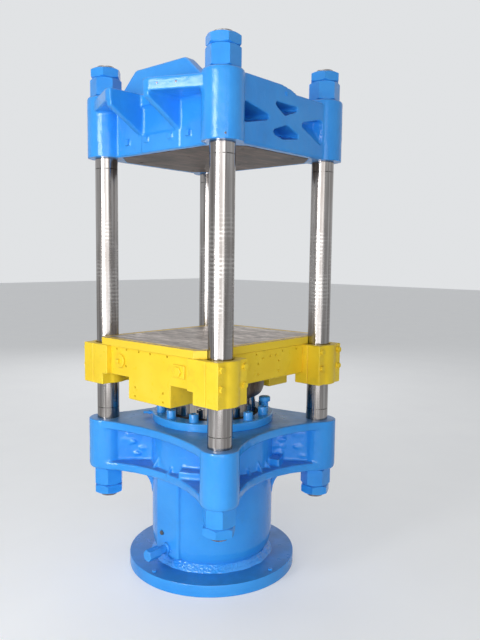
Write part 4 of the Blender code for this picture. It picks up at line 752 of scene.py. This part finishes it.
base = {"radius": 0.420, "top": 0.058, "edge": 0.004, "lowEdge": 0.002,
        "screwCircle": 0.392, "screwAcross": 0.019, "screwHeight": 0.008, "screwSunk": 0.002}


def around(circle, turn, level):
    # a frame on a circle round the ram, turned by chance
    return Matrix.Translation((circle * math.cos(turn), circle * math.sin(turn), level)) @ \
        Matrix.Rotation(chance.uniform(0, 1), 4, "Z")


radius, top, edge, lowEdge = (base[k] for k in ("radius", "top", "edge", "lowEdge"))
profile = [(0, 0), (radius - lowEdge, 0), (radius, lowEdge), (radius, top - edge),
           (radius - 0.3 * edge, top - 0.3 * edge), (radius - edge, top), (0, top)]
keep(baked(turned("base_disc", profile, 160)), pressFrame, blueBase, "blue", "base_flange")
heads = [hexagon(f"base_head_{i}", base["screwAcross"], base["screwHeight"] + base["screwSunk"],
                 around(base["screwCircle"], math.pi / 2 * i, top - base["screwSunk"])) for i in range(4)]
keep(merged("base_screws", heads), pressFrame, blueFitting, "blue")

bead = {"inner": 0.2803, "out": 0.029, "up": 0.029, "bottom": 0.0583, "ripple": 0.0042, "wander": 0.0045,
        "rippleSize": 0.007, "rippleShift": 0.55, "wanderSize": 0.05, "runs": 2, "crown": 0.0008, "rough": 0.7,
        "around": 480, "across": 12}


def weldBead(name):
    # overlapping runs of weld, rippled the way the puddle froze
    bm = bmesh.new()
    rows = []
    for i in range(bead["around"]):
        turn = 2 * math.pi * i / bead["around"]
        aim = Vector((math.cos(turn), math.sin(turn), 0))
        wander = noise.noise(aim * bead["inner"] / bead["wanderSize"]) * bead["wander"]
        row = [bm.verts.new(aim * (bead["inner"] + 0.0005) + Vector((0, 0, bead["bottom"])))]
        for j in range(bead["across"] + 1):
            share = j / bead["across"]
            crown = math.sin(math.pi * ((share * bead["runs"]) % 1)) * bead["crown"]
            grainAt = aim * bead["inner"] / bead["rippleSize"] + Vector((0, 0, j * bead["rippleShift"]))
            rough = (crown + noise.noise(grainAt) * bead["ripple"]) * bead["rough"]
            out = bead["out"] * (1 - share) + wander * (1 - share) + rough
            up = bead["up"] * share + wander * share * 0.5 + rough * min(1, share * 4)
            point = aim * (bead["inner"] + max(out, 0.0006)) + Vector((0, 0, bead["bottom"] + up))
            row.append(bm.verts.new(point))
        rows.append(row)
    skin(bm, rows, closed=True)
    return baked(pieceFrom(name, bm), crease=80)


keep(weldBead("foot_bead"), pressFrame, blueWeld, "blue", "foot_weld")
print("base and weld made")

gland = {"bore": 0.2165, "outer": 0.304, "top": 0.7763, "bottom": 0.7383, "edge": 0.003, "noseOuter": 0.2447,
         "nose": 0.7132, "groove": 0.2305, "grooveFloor": 0.7603, "screws": 12, "circle": 0.262, "phase": -6,
         "head": 0.0225, "headHeight": 0.038, "headEdge": 0.0016, "socket": 0.0095, "socketRim": 0.003,
         "socketDepth": 0.018}
profile = [(gland["groove"], gland["top"]), (gland["outer"] - gland["edge"], gland["top"]),
           (gland["outer"], gland["top"] - gland["edge"]), (gland["outer"], gland["bottom"]),
           (gland["noseOuter"], gland["bottom"]), (gland["noseOuter"], gland["nose"]), (gland["bore"], gland["nose"]),
           (gland["bore"], gland["grooveFloor"]), (gland["groove"], gland["grooveFloor"])]
keep(rounded(turned("gland", profile, 128), 0.0010), pressFrame, blueFitting, "blue", "gland_ring")


def capScrew(name, matrix):
    # a socket head cap screw with its hexagon socket
    samples = 48
    turns = [2 * math.pi * i / samples for i in range(samples)]
    head, height, edge, sunk = gland["head"], gland["headHeight"], gland["headEdge"], 0.001
    socketFloor = height - gland["socketDepth"]
    hexes = [gland["socket"] / math.cos((t + math.pi / 6) % (math.pi / 3) - math.pi / 6) for t in turns]
    circles = [(head, -sunk), (head, height - edge), (head - edge * 0.3, height - edge * 0.3),
               (head - edge, height), (gland["socket"] + gland["socketRim"], height)]
    outline = [([radius] * samples, level) for radius, level in circles] + [
        (hexes, height - 0.001), (hexes, socketFloor)]
    bm = bmesh.new()
    rows = [[bm.verts.new(matrix @ Vector((0, 0, -sunk)))]]
    for radii, level in outline:
        rows.append([bm.verts.new(matrix @ Vector((r * math.cos(t), r * math.sin(t), level)))
                     for t, r in zip(turns, radii)])
    rows.append([bm.verts.new(matrix @ Vector((0, 0, socketFloor - 0.003)))])
    skin(bm, rows, closed=False)
    return baked(pieceFrom(name, bm), crease=25)


heads = []
for number in range(gland["screws"]):
    turn = math.radians(gland["phase"] + 360 / gland["screws"] * number)
    heads.append(capScrew(f"gland_head_{number}", around(gland["circle"], turn, gland["top"])))
keep(merged("gland_screws", heads), pressFrame, blueFitting, "blue")

valve = {"angle": 39, "circle": 0.262, "bottom": 0.7766, "spigot": 0.011, "spigotLength": 0.012, "body": 0.019,
         "neck": 0.016, "neckFrom": 0.8206, "knob": 0.029, "knobBottom": 0.8266, "knobTop": 0.8516, "knobEdge": 0.004,
         "dimple": 0.006, "dimpleDepth": 0.003}
turn = math.radians(valve["angle"])
place = Matrix.Translation((valve["circle"] * math.cos(turn), valve["circle"] * math.sin(turn), 0))
spigotFoot, dimpleFloor = valve["bottom"] - valve["spigotLength"], valve["knobTop"] - valve["dimpleDepth"]
profile = [(0, spigotFoot), (valve["spigot"], spigotFoot), (valve["spigot"], valve["bottom"]),
           (valve["body"], valve["bottom"]), (valve["body"], valve["neckFrom"]),
           (valve["neck"], valve["neckFrom"] + 0.002), (valve["neck"], valve["knobBottom"]),
           (valve["knob"] - 0.003, valve["knobBottom"]), (valve["knob"], valve["knobBottom"] + 0.003),
           (valve["knob"], valve["knobTop"] - valve["knobEdge"]),
           (valve["knob"] - valve["knobEdge"], valve["knobTop"]), (valve["dimple"], valve["knobTop"]),
           (valve["dimple"] - 0.002, dimpleFloor), (0, dimpleFloor)]
keep(rounded(turned("bleed_knob", profile, 48, place), 0.0006), pressFrame, blueFitting, "blue", "bleed_valve")

supply = {"y": -0.315, "z": 0.150, "neck": 0.020, "neckLength": 0.052, "collar": 0.027, "collarLength": 0.010,
          "across": 0.050, "length": 0.070, "turn": 20, "spigot": 0.030, "inCap": 0.01,
          "plug": (-0.036, -0.315, 0.214), "plugRadius": 0.0106, "plugSocket": 0.0035, "plugDepth": 0.03}
toFront = (0, -1, 0)
neckRadius, inside = supply["neck"], supply["neckLength"] + supply["inCap"]
profile = [(0, -supply["spigot"]), (neckRadius, -supply["spigot"]), (neckRadius, 0.0003), (supply["collar"], 0.0003),
           (supply["collar"], supply["collarLength"]), (supply["collar"] - 0.003, supply["collarLength"] + 0.003),
           (neckRadius, supply["collarLength"] + 0.0035), (neckRadius, inside), (0, inside)]
neck = turned("neck", profile, 48, pointing((0, supply["y"], supply["z"]), toFront))
cap = hexagon("cap", supply["across"], supply["length"],
              pointing((0, supply["y"] - supply["neckLength"], supply["z"]), toFront, math.radians(supply["turn"])))
keep(merged("supply_cap", [baked(neck), cap]), pressFrame, blueFitting, "blue", "supply_fitting")
radius, socket, depth = (supply[k] for k in ("plugRadius", "plugSocket", "plugDepth"))
profile = [(0, 0.0012), (socket, 0.0012), (socket, 0.0025), (radius - 0.0008, 0.0025), (radius, 0.0015),
           (radius, -depth), (0, -depth)]
plug = turned("plug", profile, 32, pointing(supply["plug"], toFront))
keep(baked(plug), pressFrame, plugSteel, "blue")

# weld drops below the supply fitting, where its socket was welded on
spatter = {"drops": 7, "circle": 0.031, "y": -0.3145, "width": (0.006, 0.013), "depth": 0.004,
           "height": (0.005, 0.009)}
drops = []
for number in range(spatter["drops"]):
    turn = chance.uniform(-math.pi, 0)
    place = (spatter["circle"] * math.cos(turn), spatter["y"], supply["z"] + spatter["circle"] * math.sin(turn))
    radii = (chance.uniform(*spatter["width"]), spatter["depth"], chance.uniform(*spatter["height"]))
    drops.append(pebble(f"spatter_{number}", place, radii, 0.0))
keep(baked(merged("supply_weld", drops), crease=80), pressFrame, blueWeld, "blue")
print("gland, valve and fittings made")

studio = {
    "floor": "#d3d4d5", "floorPatch": "#cccdcf", "floorGlow": 0.42, "sky": "#e6e8ea", "floorSize": 30.0,
    "ambient": 0.32, "seen": 0.95,
    "lamps": {
        "front_strip": {"place": (0.05, -4.2, 1.95), "aim": (0.0, 0.0, 1.6), "width": 0.6, "height": 2.9,
                        "power": 76},
        "front_card": {"place": (0.8, -4.2, 1.95), "aim": (0.0, 0.0, 1.6), "width": 0.9, "height": 2.9,
                       "power": 120, "lights": False},
        "corner_box": {"place": (2.78, -2.92, 1.5), "aim": (0.3, -0.3, 1.4), "width": 3.2, "height": 2.9,
                       "power": 76},
        "rear_box": {"place": (-4.6, 3.8, 4.2), "aim": (0.0, 0.0, 1.3), "width": 4.0, "height": 4.0,
                     "power": 105, "mirrored": False},
        "top_box": {"place": (-0.5, -0.5, 5.0), "aim": (0.0, 0.0, 1.0), "width": 2.4, "height": 2.4,
                    "power": 20},
    },
}


def seenDirectly(tree):
    # 1 for what the camera, a reflection or a clear piece shows, 0 for the light that falls on the press
    rays = addNode(tree, "LightPath").outputs
    both = combined(tree, "ADD", rays["Is Camera Ray"], rays["Is Glossy Ray"])
    return combined(tree, "ADD", both, rays["Is Transmission Ray"], use_clamp=True)


floorMaterial, floorTree, floorShader = startMaterial("painted_floor", Roughness=0.8, Specular_IOR_Level=0.03)
floorPlace = addNode(floorTree, "TexCoord").outputs["Object"]
floorTone = mixColour(floorTree, grain(floorTree, floorPlace, 400), linear(studio["floor"]),
                      linear(studio["floorPatch"]))
floorTree.links.new(floorTone, floorShader.inputs["Base Color"])
floorShader.inputs["Emission Color"].default_value = linear(studio["sky"])
floorTree.links.new(span(floorTree, seenDirectly(floorTree), 0.0, 1.0, 0.0, studio["floorGlow"]),
                    floorShader.inputs["Emission Strength"])
bm = bmesh.new()
bmesh.ops.create_grid(bm, x_segments=8, y_segments=8, size=studio["floorSize"])
floor = pieceFrom("floor", bm)
floor.location.z = -0.0005
floor.data.materials.append(floorMaterial)
floor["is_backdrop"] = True

world = bpy.data.worlds.new("studio")
bpy.context.scene.world = world
world.use_nodes = True
sky = world.node_tree
sky.nodes.clear()
level = span(sky, seenDirectly(sky), 0.0, 1.0, studio["ambient"], studio["seen"])
background = addNode(sky, "Background", {"Color": linear(studio["sky"]), "Strength": level})
sky.links.new(background.outputs[0], addNode(sky, "OutputWorld").inputs["Surface"])


def lamp(name, look):
    # a soft box that points at a spot and is never seen itself; one that isn't mirrored leaves no streak in the
    # gloss, and one that doesn't light is a pale card that only the gloss shows
    light = bpy.data.lights.new(name, "AREA")
    light.shape = "RECTANGLE"
    light.size, light.size_y, light.energy = look["width"], look["height"], look["power"]
    obj = bpy.data.objects.new(name, light)
    obj.location = look["place"]
    obj.rotation_euler = (Vector(look["aim"]) - Vector(look["place"])).to_track_quat("-Z", "Y").to_euler()
    obj.visible_camera = False
    obj.visible_glossy = look.get("mirrored", True)
    obj.visible_diffuse = look.get("lights", True)
    bpy.context.scene.collection.objects.link(obj)


for name, look in studio["lamps"].items():
    lamp(name, look)

# the camera's pose comes from the photograph's straight edges and ellipses
cameraPose = {"place": (2.239, -2.3172, 1.5541), "yaw": 131.663, "pitch": -5.637, "roll": 0.689, "lens": 36.176}
yaw, pitch, roll = (math.radians(cameraPose[k]) for k in ("yaw", "pitch", "roll"))
forward = Vector((math.cos(pitch) * math.cos(yaw), math.cos(pitch) * math.sin(yaw), math.sin(pitch)))
right = forward.cross(Vector((0, 0, 1))).normalized()
up = right.cross(forward)
leanRight = right * math.cos(roll) + up * math.sin(roll)
leanUp = up * math.cos(roll) - right * math.sin(roll)
view = Matrix((leanRight, leanUp, -forward)).transposed().to_4x4()
view.translation = cameraPose["place"]
camera = bpy.data.objects.new("camera", bpy.data.cameras.new("camera"))
bpy.context.scene.collection.objects.link(camera)
camera.data.sensor_width = 36.0
camera.data.lens = cameraPose["lens"]
camera.matrix_world = view
bpy.context.scene.camera = camera
bpy.context.scene.view_settings.view_transform = "Standard"
print("studio set")

low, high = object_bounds()
